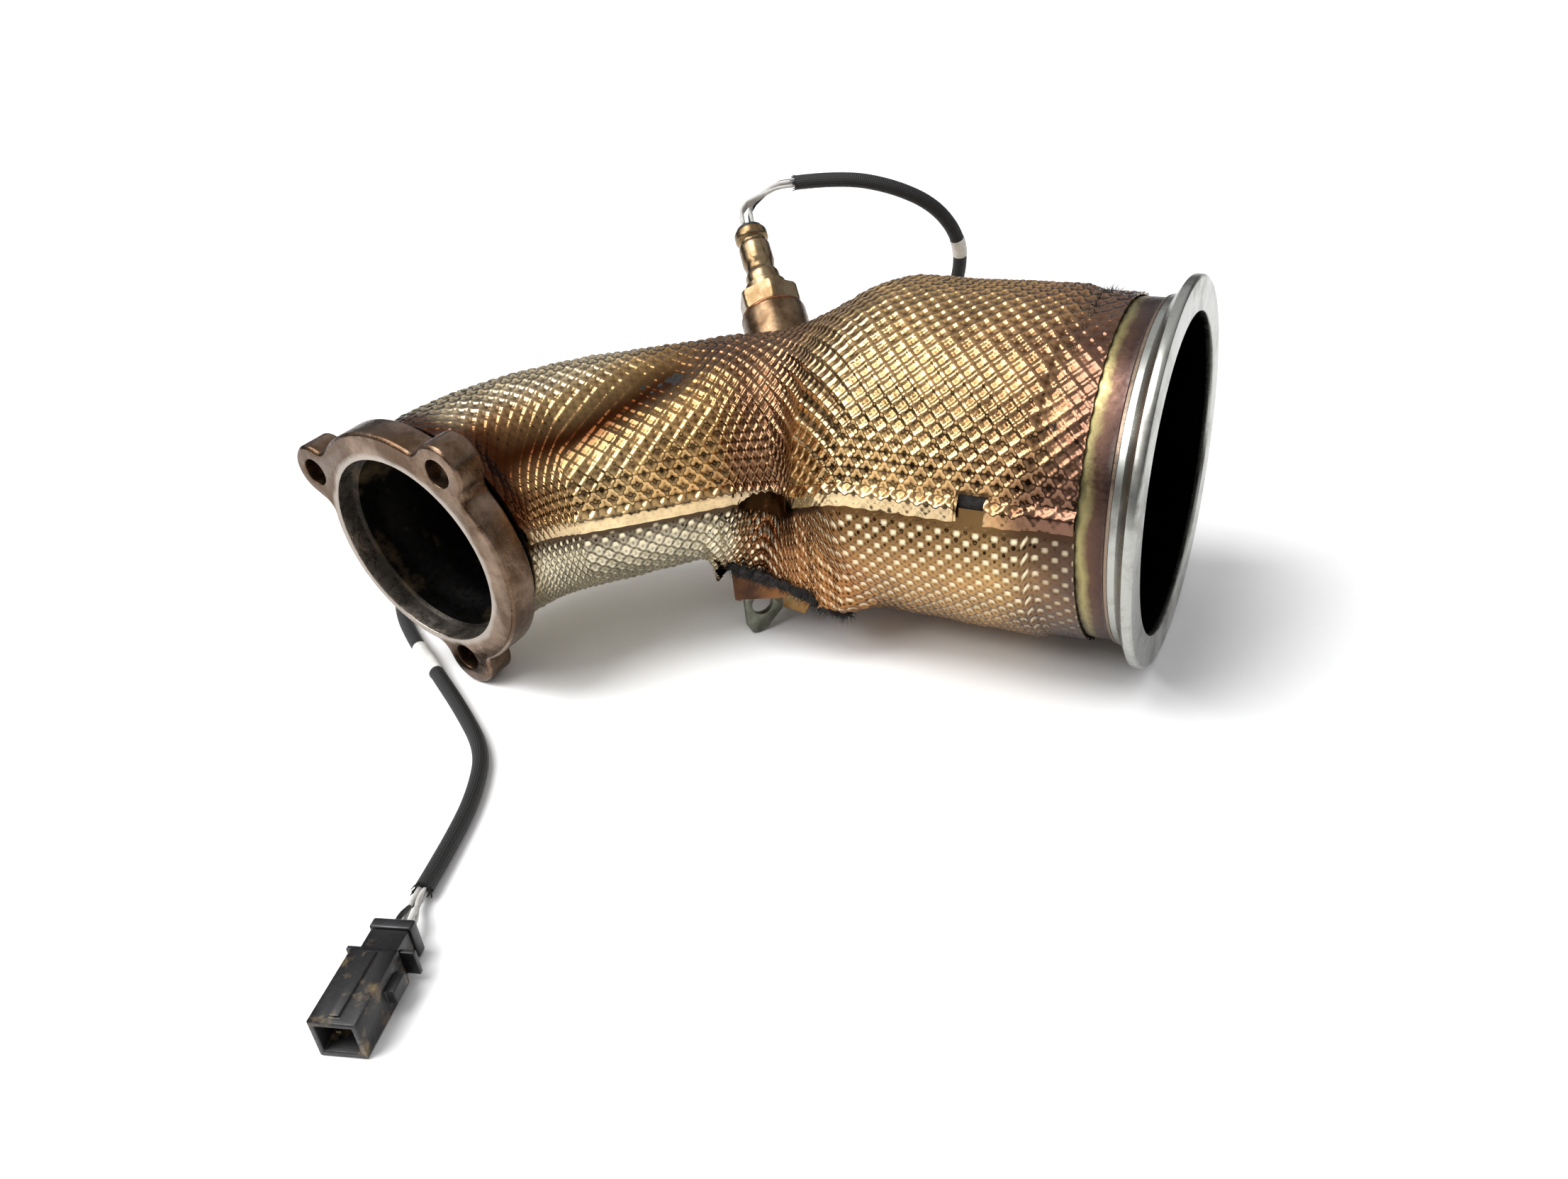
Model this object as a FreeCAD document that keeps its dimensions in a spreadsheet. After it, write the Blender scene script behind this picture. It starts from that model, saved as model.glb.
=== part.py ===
"""Catalytic converter with its outlet neck, heat shields, bracket and oxygen sensor.

The converter lies as it rests on a level surface: the can's axis is level, one V-band
flange radius above the surface, and the three-bolt outlet flange and the bracket's tip
touch the surface too. X runs along the can towards the inlet, +Z is up and the outlet
flange faces about -Y. All sizes are in millimetres.
"""
import FreeCAD, Part
import math
import os
import Sketcher
from FreeCAD import Placement, Rotation, Vector

DOC = FreeCAD.newDocument("catalytic_converter")

# Driving dimensions: alias, value, what it is.
DIMENSIONS = [
    ("inlet_face_x", 144.9, "inlet flange face, from the origin"),
    ("can_axis_y", 27.9, "can axis, from the origin"),
    ("vband_outer_radius", 65.0, "V-band flange, outer rim"),
    ("vband_bore_radius", 53.6, "V-band flange, clear opening"),
    ("vband_rim_width", 3.0, "V-band flange, cylindrical rim"),
    ("vband_taper_width", 3.4, "V-band flange, tapered back"),
    ("vband_depth", 9.0, "V-band flange, whole depth"),
    ("vband_lip", 2.4, "V-band flange, lip in front of the inlet ring"),
    ("can_radius", 57.2, "steel can, outside"),
    ("can_wall", 1.6, "steel can, wall"),
    ("ring_end", 25.0, "inlet ring, where its full size ends"),
    ("joggle_end", 35.0, "inlet ring, end of the joggle inside the can"),
    ("can_end", 92.0, "steel can, outlet end, from the inlet face"),
    ("monolith_radius", 51.8, "ceramic monolith"),
    ("monolith_start", 38.0, "ceramic monolith, front face"),
    ("monolith_length", 51.0, "ceramic monolith, length"),
    ("cone_end", 150.0, "outlet cone, end along the gas path"),
    ("pipe_radius", 34.5, "neck pipe, outside"),
    ("pipe_wall", 1.5, "neck pipe, wall"),
    ("first_bend_start", 118.0, "gas path, start of the first bend"),
    ("first_bend_radius", 82.0, "gas path, first bend"),
    ("first_bend_turn", 38.4, "gas path, first bend, degrees"),
    ("neck_straight", 55.0, "gas path, straight between the bends"),
    ("second_bend_radius", 65.6, "gas path, second bend"),
    ("second_bend_turn", 44.7, "gas path, second bend, degrees"),
    ("outlet_straight", 18.0, "gas path, straight before the outlet face"),
    ("path_roll", 4.8, "gas path, how far its plane dips towards the outlet, degrees"),
    ("outlet_bore_radius", 36.9, "outlet flange bore"),
    ("outlet_thickness", 12.0, "outlet flange thickness"),
    ("outlet_ring_radius", 40.4, "outlet flange, narrow side of the ring"),
    ("outlet_shoulder_radius", 47.0, "outlet flange, wide side of the ring"),
    ("lobe_radius", 10.2, "outlet flange, lobe round each bolt hole"),
    ("bolt_hole_radius", 5.2, "outlet flange, bolt holes"),
    ("upper_bolt_reach", 48.2, "outlet flange, two upper holes from the bore's centre"),
    ("lower_bolt_reach", 46.6, "outlet flange, lower lobe from the bore's centre"),
    ("lower_hole_reach", 44.9, "outlet flange, lower hole from the bore's centre"),
    ("pipe_end_recess", 8.0, "neck pipe, end below the outlet face"),
    ("shield_can_radius", 60.0, "heat shield over the can, outside"),
    ("shield_neck_radius", 42.0, "heat shield over the neck, outside"),
    ("shield_waist_radius", 39.4, "heat shield where cone and neck meet, outside"),
    ("shield_sheet", 0.8, "heat shield, sheet thickness"),
    ("shield_start", 19.0, "heat shield, inlet end"),
    ("shield_stop", 280.5, "heat shield, outlet end along the gas path"),
    ("cuff_radius", 58.5, "heat shield, crimped end cuff, outside"),
    ("skirt_step", 2.2, "upper shield, how far its edge stands off the lower one"),
    ("seam_rise", 10.5, "shield seam on the can, above the axis"),
    ("seam_drop", 4.0, "shield seam on the neck, below the axis level"),
    ("seam_overlap", 4.0, "lower shield, how far it reaches under the upper one"),
    ("groove_depth", 4.8, "pressed groove along the upper neck shield"),
    ("insulation_gap", 0.35, "insulation on the can, clearance to the metal on each side"),
    ("neck_insulation_gap", 0.8, "insulation on the neck, clearance to the metal"),
    ("bracket_sheet", 2.5, "bracket plates, sheet thickness"),
    ("bracket_hole_radius", 4.3, "bracket mount hole"),
    ("sensor_axis_reach", 137.0, "sensor axis, where it meets the gas path"),
    ("boss_radius", 13.0, "sensor boss"),
    ("boss_top", 54.0, "sensor boss, top from the gas path's axis"),
    ("sensor_thread_radius", 9.0, "sensor thread"),
    ("gasket_height", 1.5, "sensor gasket"),
    ("hex_across_flats", 22.0, "sensor hexagon"),
    ("hex_height", 8.0, "sensor hexagon, height"),
    ("sleeve_radius", 6.4, "sensor sleeve"),
    ("sensor_height", 43.0, "sensor, gasket face to the end of its grommet"),
    ("lead_radius", 2.75, "lead, outside of its sleeve"),
    ("wire_radius", 0.8, "lead wires"),
    ("tape_build", 0.25, "tape bands, thickness"),
]

SHEET = DOC.addObject("Spreadsheet::Sheet", "Dimensions")
for row, (alias, value, meaning) in enumerate(DIMENSIONS, start=1):
    SHEET.set("A%d" % row, alias)
    SHEET.set("B%d" % row, str(value))
    SHEET.setAlias("B%d" % row, alias)
    SHEET.set("C%d" % row, meaning)
DOC.recompute()

CELL = {alias: float(SHEET.get(alias)) for alias, _, _ in DIMENSIONS}
NODES = []


def node(obj, label):
    """Name a finished piece; each labelled piece becomes one file."""
    obj.Label = label
    NODES.append(obj)
    return obj


def feature(label, shape):
    """A piece whose form is lofted or swept by Part's own functions."""
    piece = DOC.addObject("Part::Feature", label)
    piece.Shape = shape
    return node(piece, label)


def helper(type_name, name, placement=None, **expressions):
    """A Part primitive or boolean with its properties bound to the sheet."""
    obj = DOC.addObject(type_name, name)
    for prop, expression in expressions.items():
        obj.setExpression(prop, expression)
    if placement is not None:
        obj.Placement = placement
    return obj


def cut(name, base, tool):
    """base minus tool, as a live boolean."""
    obj = DOC.addObject("Part::Cut", name)
    obj.Base = base
    obj.Tool = tool
    return obj


def fuse(name, shapes):
    """The shapes as one piece, as a live boolean."""
    obj = DOC.addObject("Part::MultiFuse", name)
    obj.Shapes = shapes
    obj.Refine = True
    return obj


def frame(origin, x_axis, z_axis):
    """The placement whose local X and Z lie along the two directions."""
    y_axis = z_axis.cross(x_axis)
    return Placement(origin, Rotation(x_axis, y_axis, z_axis, "ZXY"))


# ---------------------------------------------------------------- the gas path

AXIS_HEIGHT = CELL["vband_outer_radius"]
INLET = Vector(CELL["inlet_face_x"], CELL["can_axis_y"], AXIS_HEIGHT)
INWARD = Vector(-1, 0, 0)
ROLL = math.radians(CELL["path_roll"])
SIDE = Vector(0, -math.cos(ROLL), -math.sin(ROLL))
PATH_UP = INWARD.cross(SIDE)
if PATH_UP.z < 0:
    PATH_UP = PATH_UP * -1

FIRST_TURN = math.radians(CELL["first_bend_turn"])
WHOLE_TURN = FIRST_TURN + math.radians(CELL["second_bend_turn"])
FIRST_BEND_END = CELL["first_bend_start"] + CELL["first_bend_radius"] * FIRST_TURN
SECOND_BEND_START = FIRST_BEND_END + CELL["neck_straight"]
SECOND_BEND_END = SECOND_BEND_START + CELL["second_bend_radius"] * (WHOLE_TURN - FIRST_TURN)
PATH_END = SECOND_BEND_END + CELL["outlet_straight"]
SIZED_END = PATH_END - CELL["outlet_thickness"] - 2
SIZED_START = SIZED_END - 12


def heading(turn):
    """The direction of the gas path after it has turned that far."""
    return INWARD * math.cos(turn) + SIDE * math.sin(turn)


def bend(start, radius, turn_from, turn_to):
    """The point that a bend reaches when it has turned from one heading to another."""
    along = radius * (math.sin(turn_to) - math.sin(turn_from))
    across = radius * (math.cos(turn_from) - math.cos(turn_to))
    return start + INWARD * along + SIDE * across


BEND_ONE = INLET + INWARD * CELL["first_bend_start"]
BEND_ONE_END = bend(BEND_ONE, CELL["first_bend_radius"], 0, FIRST_TURN)
BEND_TWO = BEND_ONE_END + heading(FIRST_TURN) * CELL["neck_straight"]
BEND_TWO_END = bend(BEND_TWO, CELL["second_bend_radius"], FIRST_TURN, WHOLE_TURN)


def station(reach):
    """Point and direction of the gas path at a distance from the inlet face."""
    if reach <= CELL["first_bend_start"]:
        return INLET + INWARD * reach, heading(0)
    if reach <= FIRST_BEND_END:
        turn = (reach - CELL["first_bend_start"]) / CELL["first_bend_radius"]
        return bend(BEND_ONE, CELL["first_bend_radius"], 0, turn), heading(turn)
    if reach <= SECOND_BEND_START:
        return BEND_ONE_END + heading(FIRST_TURN) * (reach - FIRST_BEND_END), heading(FIRST_TURN)
    if reach <= SECOND_BEND_END:
        turn = FIRST_TURN + (reach - SECOND_BEND_START) / CELL["second_bend_radius"]
        return bend(BEND_TWO, CELL["second_bend_radius"], FIRST_TURN, turn), heading(turn)
    return BEND_TWO_END + heading(WHOLE_TURN) * (reach - SECOND_BEND_END), heading(WHOLE_TURN)


def ease(value):
    """0 to 1 with level ends, as a pressed transition runs."""
    value = min(1.0, max(0.0, value))
    return 0.5 - 0.5 * math.cos(math.pi * value)


def blend(value, start, end, before, after):
    """A size that changes smoothly from one value to another between two stations."""
    return before + (after - before) * ease((value - start) / (end - start))


def steel_radius(reach):
    """Outside radius of the steel under the shields, at a station of the gas path."""
    if reach > SIZED_START:
        return blend(reach, SIZED_START, SIZED_END, CELL["pipe_radius"], CELL["outlet_bore_radius"])
    return blend(reach, CELL["can_end"], CELL["cone_end"], CELL["can_radius"], CELL["pipe_radius"])


def stations(start, end, count):
    """Evenly spread stations along the gas path."""
    return [start + (end - start) * i / (count - 1) for i in range(count)]


def round_loft(reaches, radius):
    """A solid through circles set square to the gas path."""
    wires = []
    for reach in reaches:
        point, direction = station(reach)
        wires.append(Part.Wire(Part.makeCircle(radius(reach), point, direction)))
    return Part.makeLoft(wires, True, False)


# ------------------------------------------------- pieces turned about the can axis

CAN_FRAME = frame(INLET, Vector(0, 1, 0), Vector(0, 0, 1))


def turned(label, corners):
    """A ring turned about the can's axis; corners are (radius, depth) expressions."""
    body = DOC.addObject("PartDesign::Body", label)
    sketch = body.newObject("Sketcher::SketchObject", label + "_profile")
    plane = [f for f in body.Origin.OriginFeatures if f.Role == "XY_Plane"][0]
    sketch.AttachmentSupport = [(plane, "")]
    sketch.MapMode = "FlatFace"
    count = len(corners)
    size = [[evaluate(text) for text in corner] for corner in corners]
    for i in range(count):
        a, b = size[i], size[(i + 1) % count]
        sketch.addGeometry(Part.LineSegment(Vector(a[0], a[1], 0), Vector(b[0], b[1], 0)), False)
    for i in range(count):
        sketch.addConstraint(Sketcher.Constraint("Coincident", i, 2, (i + 1) % count, 1))
    for i, (radius_text, depth_text) in enumerate(corners):
        for kind, text, value in (("DistanceX", radius_text, size[i][0]),
                                  ("DistanceY", depth_text, size[i][1])):
            if value == 0:
                axis = -2 if kind == "DistanceX" else -1
                sketch.addConstraint(Sketcher.Constraint("PointOnObject", i, 1, axis))
                continue
            index = sketch.addConstraint(Sketcher.Constraint(kind, -1, 1, i, 1, value))
            sketch.setExpression("Constraints[%d]" % index, named(text))
    spin = body.newObject("PartDesign::Revolution", label + "_turned")
    spin.Profile = sketch
    spin.ReferenceAxis = (sketch, ["V_Axis"])
    spin.Angle = 360
    body.Tip = spin
    body.Placement = CAN_FRAME
    return node(body, label)


def named(text):
    """The expression with each alias written as a reference to the sheet."""
    words = text.replace("(", " ( ").replace(")", " ) ").split()
    return " ".join("Dimensions." + w if w in CELL else w for w in words)


def evaluate(text):
    """The value of an expression of sheet names, added and subtracted."""
    total, sign = 0.0, 1
    for word in text.split():
        if word in "+-":
            sign = 1 if word == "+" else -1
        else:
            total += sign * (CELL[word] if word in CELL else float(word))
    return total


def build_can():
    """Inlet flange, ring, can, mat and monolith, all turned about one axis."""
    turned("v_band_flange", [
        ("vband_bore_radius", "0"),
        ("vband_outer_radius - 0.8", "0"),
        ("vband_outer_radius", "0.8"),
        ("vband_outer_radius", "vband_rim_width"),
        ("can_radius + 2.0", "vband_rim_width + vband_taper_width"),
        ("can_radius + 1.2", "vband_rim_width + vband_taper_width"),
        ("can_radius + 1.2", "vband_depth"),
        ("can_radius", "vband_depth"),
        ("can_radius", "vband_lip"),
        ("vband_bore_radius", "vband_lip"),
    ])
    turned("flange_weld", [
        ("can_radius", "vband_depth"),
        ("can_radius + 1.2", "vband_depth"),
        ("can_radius + 0.9", "vband_depth + 1.0"),
        ("can_radius", "vband_depth + 1.6"),
    ])
    turned("inlet_ring", [
        ("can_radius - can_wall", "vband_lip"),
        ("can_radius", "vband_lip"),
        ("can_radius", "ring_end"),
        ("can_radius - can_wall", "ring_end + 1.5"),
        ("can_radius - can_wall", "joggle_end"),
        ("can_radius - can_wall - can_wall", "joggle_end"),
        ("can_radius - can_wall - can_wall", "ring_end"),
        ("can_radius - can_wall", "ring_end - 2.0"),
    ])
    turned("can_shell", [
        ("can_radius - can_wall", "ring_end + 1.5"),
        ("can_radius", "ring_end + 1.5"),
        ("can_radius", "can_end"),
        ("can_radius - can_wall", "can_end"),
    ])
    turned("support_mat", [
        ("monolith_radius", "monolith_start + 1.5"),
        ("can_radius - can_wall", "monolith_start + 1.5"),
        ("can_radius - can_wall", "monolith_start + monolith_length - 1.5"),
        ("monolith_radius", "monolith_start + monolith_length - 1.5"),
    ])
    turned("catalyst_monolith", [
        ("0", "monolith_start"),
        ("monolith_radius", "monolith_start"),
        ("monolith_radius", "monolith_start + monolith_length"),
        ("0", "monolith_start + monolith_length"),
    ])


# --------------------------------------------------------------- cone and neck pipe

def weld_bead(reach):
    """A low bead of weld round the steel at a station of the gas path."""
    point, direction = station(reach)
    radius = steel_radius(reach)
    profile = [(radius, -1.8), (radius + 1.2, -0.6), (radius + 1.2, 0.6), (radius, 1.8)]
    place = frame(point, PATH_UP, direction)
    corners = [place.multVec(Vector(size, 0, along)) for size, along in profile]
    face = Part.Face(Part.makePolygon(corners + corners[:1]))
    return face.revolve(point, direction, 360)


def build_neck():
    """The outlet cone, the neck pipe with its sized end, and their welds."""
    wall = CELL["pipe_wall"]

    def inside(reach):
        return steel_radius(reach) - wall

    origin, direction = sensor_axis()
    tapped = Part.makeCylinder(CELL["sensor_thread_radius"] + 0.1, 60, origin, direction)
    cone_rows = stations(CELL["can_end"], CELL["cone_end"], 11)
    cone = round_loft(cone_rows, steel_radius)
    feature("outlet_cone", cone.cut(round_loft(cone_rows, inside)).cut(tapped))

    end = PATH_END - CELL["pipe_end_recess"]
    spans = [stations(CELL["cone_end"], SECOND_BEND_START, 4),
             stations(SECOND_BEND_START, SIZED_START, 6),
             stations(SIZED_START, SIZED_END, 4), [SIZED_END, end]]
    outer = [round_loft(rows, steel_radius) for rows in spans]
    inner = [round_loft(rows, inside) for rows in spans]
    pipe = outer[0].fuse(outer[1:])
    feature("neck_pipe", pipe.cut(inner[0].fuse(inner[1:])).removeSplitter().cut(tapped))

    feature("cone_weld", weld_bead(CELL["can_end"]))
    boss = sensor_cylinder(CELL["boss_radius"])
    feature("neck_weld", weld_bead(CELL["cone_end"]).cut(boss))

    back = PATH_END - CELL["outlet_thickness"]
    sized = CELL["outlet_bore_radius"]
    point, direction = station(back - 3.5)
    fillet = Part.makeCone(sized + 0.8, sized + 2.4, 3.5, point, direction)
    feature("outlet_flange_weld", fillet.cut(pipe))


# ------------------------------------------------------------------- outlet flange

# Directions of the three bolt holes, in degrees, seen from in front of the face.
UPPER_RIGHT_BOLT = 52.5
UPPER_LEFT_BOLT = 149.5
LOWER_BOLT = 282.7


def flange_frame():
    """Face centre of the outlet flange, local Z out of the face, local X to the right."""
    face, direction = station(PATH_END)
    right = PATH_UP.cross(direction)
    return frame(face, right, direction)


def build_outlet_flange():
    """The cast three-lobed flange with its bore and bolt holes."""
    depth = Vector(0, 0, -CELL["outlet_thickness"])
    upright = Placement(depth, Rotation())
    ring = helper("Part::Cylinder", "narrow_ring", upright,
                  Radius=named("outlet_ring_radius"), Height=named("outlet_thickness"))
    shoulder = helper("Part::Cylinder", "wide_ring",
                      Placement(depth, Rotation(Vector(0, 0, 1), LOWER_BOLT - 360)),
                      Radius=named("outlet_shoulder_radius"), Height=named("outlet_thickness"))
    shoulder.Angle = UPPER_LEFT_BOLT - LOWER_BOLT + 360
    parts = [ring, shoulder]
    holes = []
    for name, angle, reach_name, hole_name in (
            ("upper_right", UPPER_RIGHT_BOLT, "upper_bolt_reach", "upper_bolt_reach"),
            ("upper_left", UPPER_LEFT_BOLT, "upper_bolt_reach", "upper_bolt_reach"),
            ("lower", LOWER_BOLT, "lower_bolt_reach", "lower_hole_reach")):
        turn = Rotation(Vector(0, 0, 1), angle)
        centre = turn.multVec(Vector(CELL[reach_name], 0, 0)) + depth
        drilled_at = turn.multVec(Vector(CELL[hole_name], 0, -1)) + depth
        parts.append(helper("Part::Cylinder", name + "_lobe", Placement(centre, turn),
                            Radius=named("lobe_radius"), Height=named("outlet_thickness")))
        root = turn.multVec(Vector(0, -CELL["lobe_radius"], 0)) + depth
        parts.append(helper("Part::Box", name + "_web", Placement(root, turn),
                            Length=named(reach_name), Width=named("lobe_radius * 2"),
                            Height=named("outlet_thickness")))
        holes.append(helper("Part::Cylinder", name + "_hole",
                            Placement(drilled_at, turn),
                            Radius=named("bolt_hole_radius"), Height=named("outlet_thickness + 2")))
    blank = fuse("flange_blank", parts)
    bore = helper("Part::Cylinder", "flange_bore",
                  Placement(depth + Vector(0, 0, -1), Rotation()),
                  Radius=named("outlet_bore_radius"), Height=named("outlet_thickness + 2"))
    drilled = cut("flange_drilled", blank, fuse("flange_openings", [bore] + holes))
    DOC.recompute()
    rounded = round_flange_edges(drilled)
    rounded.Placement = flange_frame()
    node(rounded, "outlet_flange")


def round_flange_edges(drilled):
    """Cast corners: fillets where the lobes meet the ring, then broken outer edges."""
    reach_limit = CELL["upper_bolt_reach"]
    corners = []
    for index, edge in enumerate(drilled.Shape.Edges, start=1):
        if edge.Curve.TypeId != "Part::GeomLine":
            continue
        ends = [v.Point for v in edge.Vertexes]
        radial = math.hypot(ends[0].x, ends[0].y)
        if abs(ends[0].z - ends[1].z) > 1 and radial < reach_limit - 1:
            corners.append((index, 5.0, 5.0))
    soft = DOC.addObject("Part::Fillet", "flange_corners")
    soft.Base = drilled
    soft.Edges = corners
    DOC.recompute()
    rims = []
    for index, edge in enumerate(soft.Shape.Edges, start=1):
        heights = [v.Point.z for v in edge.Vertexes]
        level = all(abs(z) < 1e-6 or abs(z + CELL["outlet_thickness"]) < 1e-6 for z in heights)
        same = max(heights) - min(heights) < 1e-6
        middle = edge.valueAt((edge.FirstParameter + edge.LastParameter) / 2)
        outside = math.hypot(middle.x, middle.y) > CELL["outlet_bore_radius"] + 2
        hole = edge.Curve.TypeId == "Part::GeomCircle" and (
            abs(edge.Curve.Radius - CELL["bolt_hole_radius"]) < 0.01)
        if level and same and outside and not hole:
            rims.append((index, 1.0, 1.0))
    broken = DOC.addObject("Part::Chamfer", "flange_rims")
    broken.Base = soft
    broken.Edges = rims
    return broken


# -------------------------------------------------------------------- heat shields

def shield_radius(reach):
    """Outside radius of the shields before the seam and the groove are pressed in."""
    can, waist, neck = (CELL[n] for n in
                        ("shield_can_radius", "shield_waist_radius", "shield_neck_radius"))
    if reach < CELL["shield_start"] + 18:
        begin = CELL["shield_start"] + 12
        return blend(reach, begin, begin + 6, CELL["cuff_radius"], can)
    if reach < CELL["cone_end"] - 2:
        return blend(reach, CELL["can_end"] + 2, CELL["cone_end"] - 2, can, waist)
    return blend(reach, CELL["cone_end"] - 2, CELL["cone_end"] + 70, waist, neck)


def seam_height(x):
    """Height of the seam's lower edge at a place along X: high on the can, low on the neck."""
    high = AXIS_HEIGHT + CELL["seam_rise"]
    low = AXIS_HEIGHT - CELL["seam_drop"]
    start = INLET.x - CELL["can_end"]
    return blend(-x, -start, -start + 45, high, low)


def groove(reach, angle):
    """Depth of the long groove pressed along the neck, which winds up towards the cone."""
    first, last = CELL["cone_end"] + 8, CELL["shield_stop"] - 3
    along = ease((reach - first) / 28) * ease((last - reach) / 14)
    centre = blend(reach, CELL["cone_end"], CELL["cone_end"] + 85, 86, 41)
    across = (angle - centre) / 25.0
    return CELL["groove_depth"] * along * math.exp(-across * across)


def seam_angles(reach):
    """The two angles round a section at which the seam's lower edge crosses it."""
    point, _ = station(reach)
    radius = shield_radius(reach)
    slope = max(-0.9, min(0.9, (seam_height(point.x) - point.z) / radius))
    near = math.degrees(math.asin(slope))
    return near, 180 - near


def skirt(reach, angle):
    """How far the upper shield stands off near and below the seam."""
    near, far = seam_angles(reach)
    above = min((angle + 90) % 360 - 90 - near, far - (angle + 90) % 360 + 90)
    height = math.radians(above) * shield_radius(reach)
    return CELL["skirt_step"] * (1 - ease((height - 5) / 5))


def upper_angles(reach, lift):
    """Angles over the top from seam to seam, closer together where the skirt is pressed."""
    near, far = seam_angles(reach)
    radius = shield_radius(reach)
    fine = [math.degrees(h / radius) for h in (lift, 3, 5.5, 7.5, 9.5, 12, 17)]
    free = (far - near) - 2 * fine[-1]
    angles = [near + a for a in fine]
    angles += [near + fine[-1] + free * i / 9 for i in range(1, 9)]
    return angles + [far - a for a in reversed(fine)]


def lower_angles(reach, lift):
    """Angles round the underside, from the far seam to the near one."""
    near, far = seam_angles(reach)
    rise = math.degrees(lift / shield_radius(reach))
    start, end = far - rise, 360 + near + rise
    return [start + (end - start) * i / 14 for i in range(15)]


def half_wire(reach, angles, outside, inside):
    """One closed section of a half shell: outer skin, seam edge, inner skin, seam edge."""
    point, direction = station(reach)
    side = direction.cross(PATH_UP)
    if side.dot(SIDE) < 0:
        side = side * -1

    def place(angle, radius):
        turn = math.radians(angle)
        size = radius(reach, angle)
        return point + side * (size * math.cos(turn)) + PATH_UP * (size * math.sin(turn))

    outer = [place(a, outside) for a in angles]
    inner = [place(a, inside) for a in reversed(angles)]
    edges = []
    for row, following in ((outer, inner), (inner, outer)):
        curve = Part.BSplineCurve()
        curve.interpolate(row)
        edges.append(curve.toShape())
        edges.append(Part.LineSegment(row[-1], following[0]).toShape())
    return Part.Wire(edges)


def half_shell(spans, pick_angles, outside, inside):
    """A half shell lofted span by span along the gas path."""
    solids = []
    for rows in spans:
        wires = [half_wire(reach, pick_angles(reach), outside, inside) for reach in rows]
        solids.append(Part.makeLoft(wires, True, False))
    return solids[0].fuse(solids[1:])


def shield_spans():
    """The stations of the shields' sections: cuff, step, can, then cone and neck."""
    start, stop = CELL["shield_start"], CELL["shield_stop"]
    flat = CELL["can_end"] + 2
    return [[start, start + 12], stations(start + 12, start + 18, 4), [start + 18, flat],
            stations(flat, stop, 25)]


def upper_outside(reach, angle):
    """Outside of the upper shield."""
    return shield_radius(reach) + skirt(reach, angle) - groove(reach, angle)


def cut_out(margin):
    """The opening of the lower shield round the bracket, larger by a margin."""
    x0, y0 = INLET.x, INLET.y
    corners = [(-153 - margin, -10), (-153 - margin, 38 + margin), (-146, 44 + margin),
               (-128, 31 + margin), (-108 + margin, 23 + margin), (-104 + margin, -10)]
    face = Part.Face(Part.makePolygon(
        [Vector(x0 + x, y0 - 90, z) for x, z in corners + corners[:1]]))
    return face.extrude(Vector(0, 92 + margin, 0))


def brace_slot():
    """The slot through insulation and shield in which the brace reaches the steel."""
    corner = Vector(INLET.x - 128, INLET.y - 36, 5)
    return Part.makeBox(19.5, 3.5, 40, corner)


def sensor_cylinder(radius):
    """A cylinder on the sensor's axis, from inside the neck to outside the shields."""
    origin, direction = sensor_axis()
    return Part.makeCylinder(radius, 60, origin + direction * 25, direction)


def build_shields():
    """The two pressed heat shields and the insulation between them and the steel."""
    sheet = CELL["shield_sheet"]
    spans = shield_spans()
    upper = half_shell(spans, lambda s: upper_angles(s, 0), upper_outside,
                       lambda s, a: upper_outside(s, a) - sheet)
    feature("upper_heat_shield", upper.cut(sensor_cylinder(CELL["boss_radius"] + 1.5)))

    overlap = CELL["seam_overlap"]
    lower = half_shell(spans, lambda s: lower_angles(s, overlap), lambda s, a: shield_radius(s),
                       lambda s, a: shield_radius(s) - sheet)
    feature("lower_heat_shield", lower.cut(cut_out(0)).cut(brace_slot()))

    flat = CELL["can_end"] + 2
    spans = [[CELL["shield_start"] + 19, flat], stations(flat, CELL["shield_stop"] - 4, 19)]

    def inner(reach, angle):
        close, loose = CELL["insulation_gap"], CELL["neck_insulation_gap"]
        return steel_radius(reach) + blend(reach, flat - 10, flat, close, loose)

    upper = half_shell(spans, lambda s: upper_angles(s, 0.5),
                       lambda s, a: shield_radius(s) - groove(s, a) - sheet - clearance(s),
                       inner)
    upper = upper.cut(blank_welds())
    feature("upper_insulation", upper.cut(sensor_cylinder(CELL["boss_radius"] + 0.3)))
    lower = half_shell(spans, lambda s: lower_angles(s, 0),
                       lambda s, a: shield_radius(s) - sheet - clearance(s), inner)
    feature("lower_insulation", lower.cut(blank_welds()).cut(cut_out(-5)).cut(brace_slot()))


def clearance(reach):
    """Room between insulation and metal: little on the can, more where the neck bends."""
    return blend(reach, CELL["can_end"], CELL["can_end"] + 15, CELL["insulation_gap"],
                 CELL["neck_insulation_gap"])


def blank_welds():
    """Room in the insulation for the two weld beads."""
    beads = []
    for reach in (CELL["can_end"], CELL["cone_end"]):
        point, direction = station(reach)
        beads.append(Part.makeTorus(steel_radius(reach), 1.6, point, direction))
    return beads[0].fuse(beads[1])


# -------------------------------------------------------------------------- bracket

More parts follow.
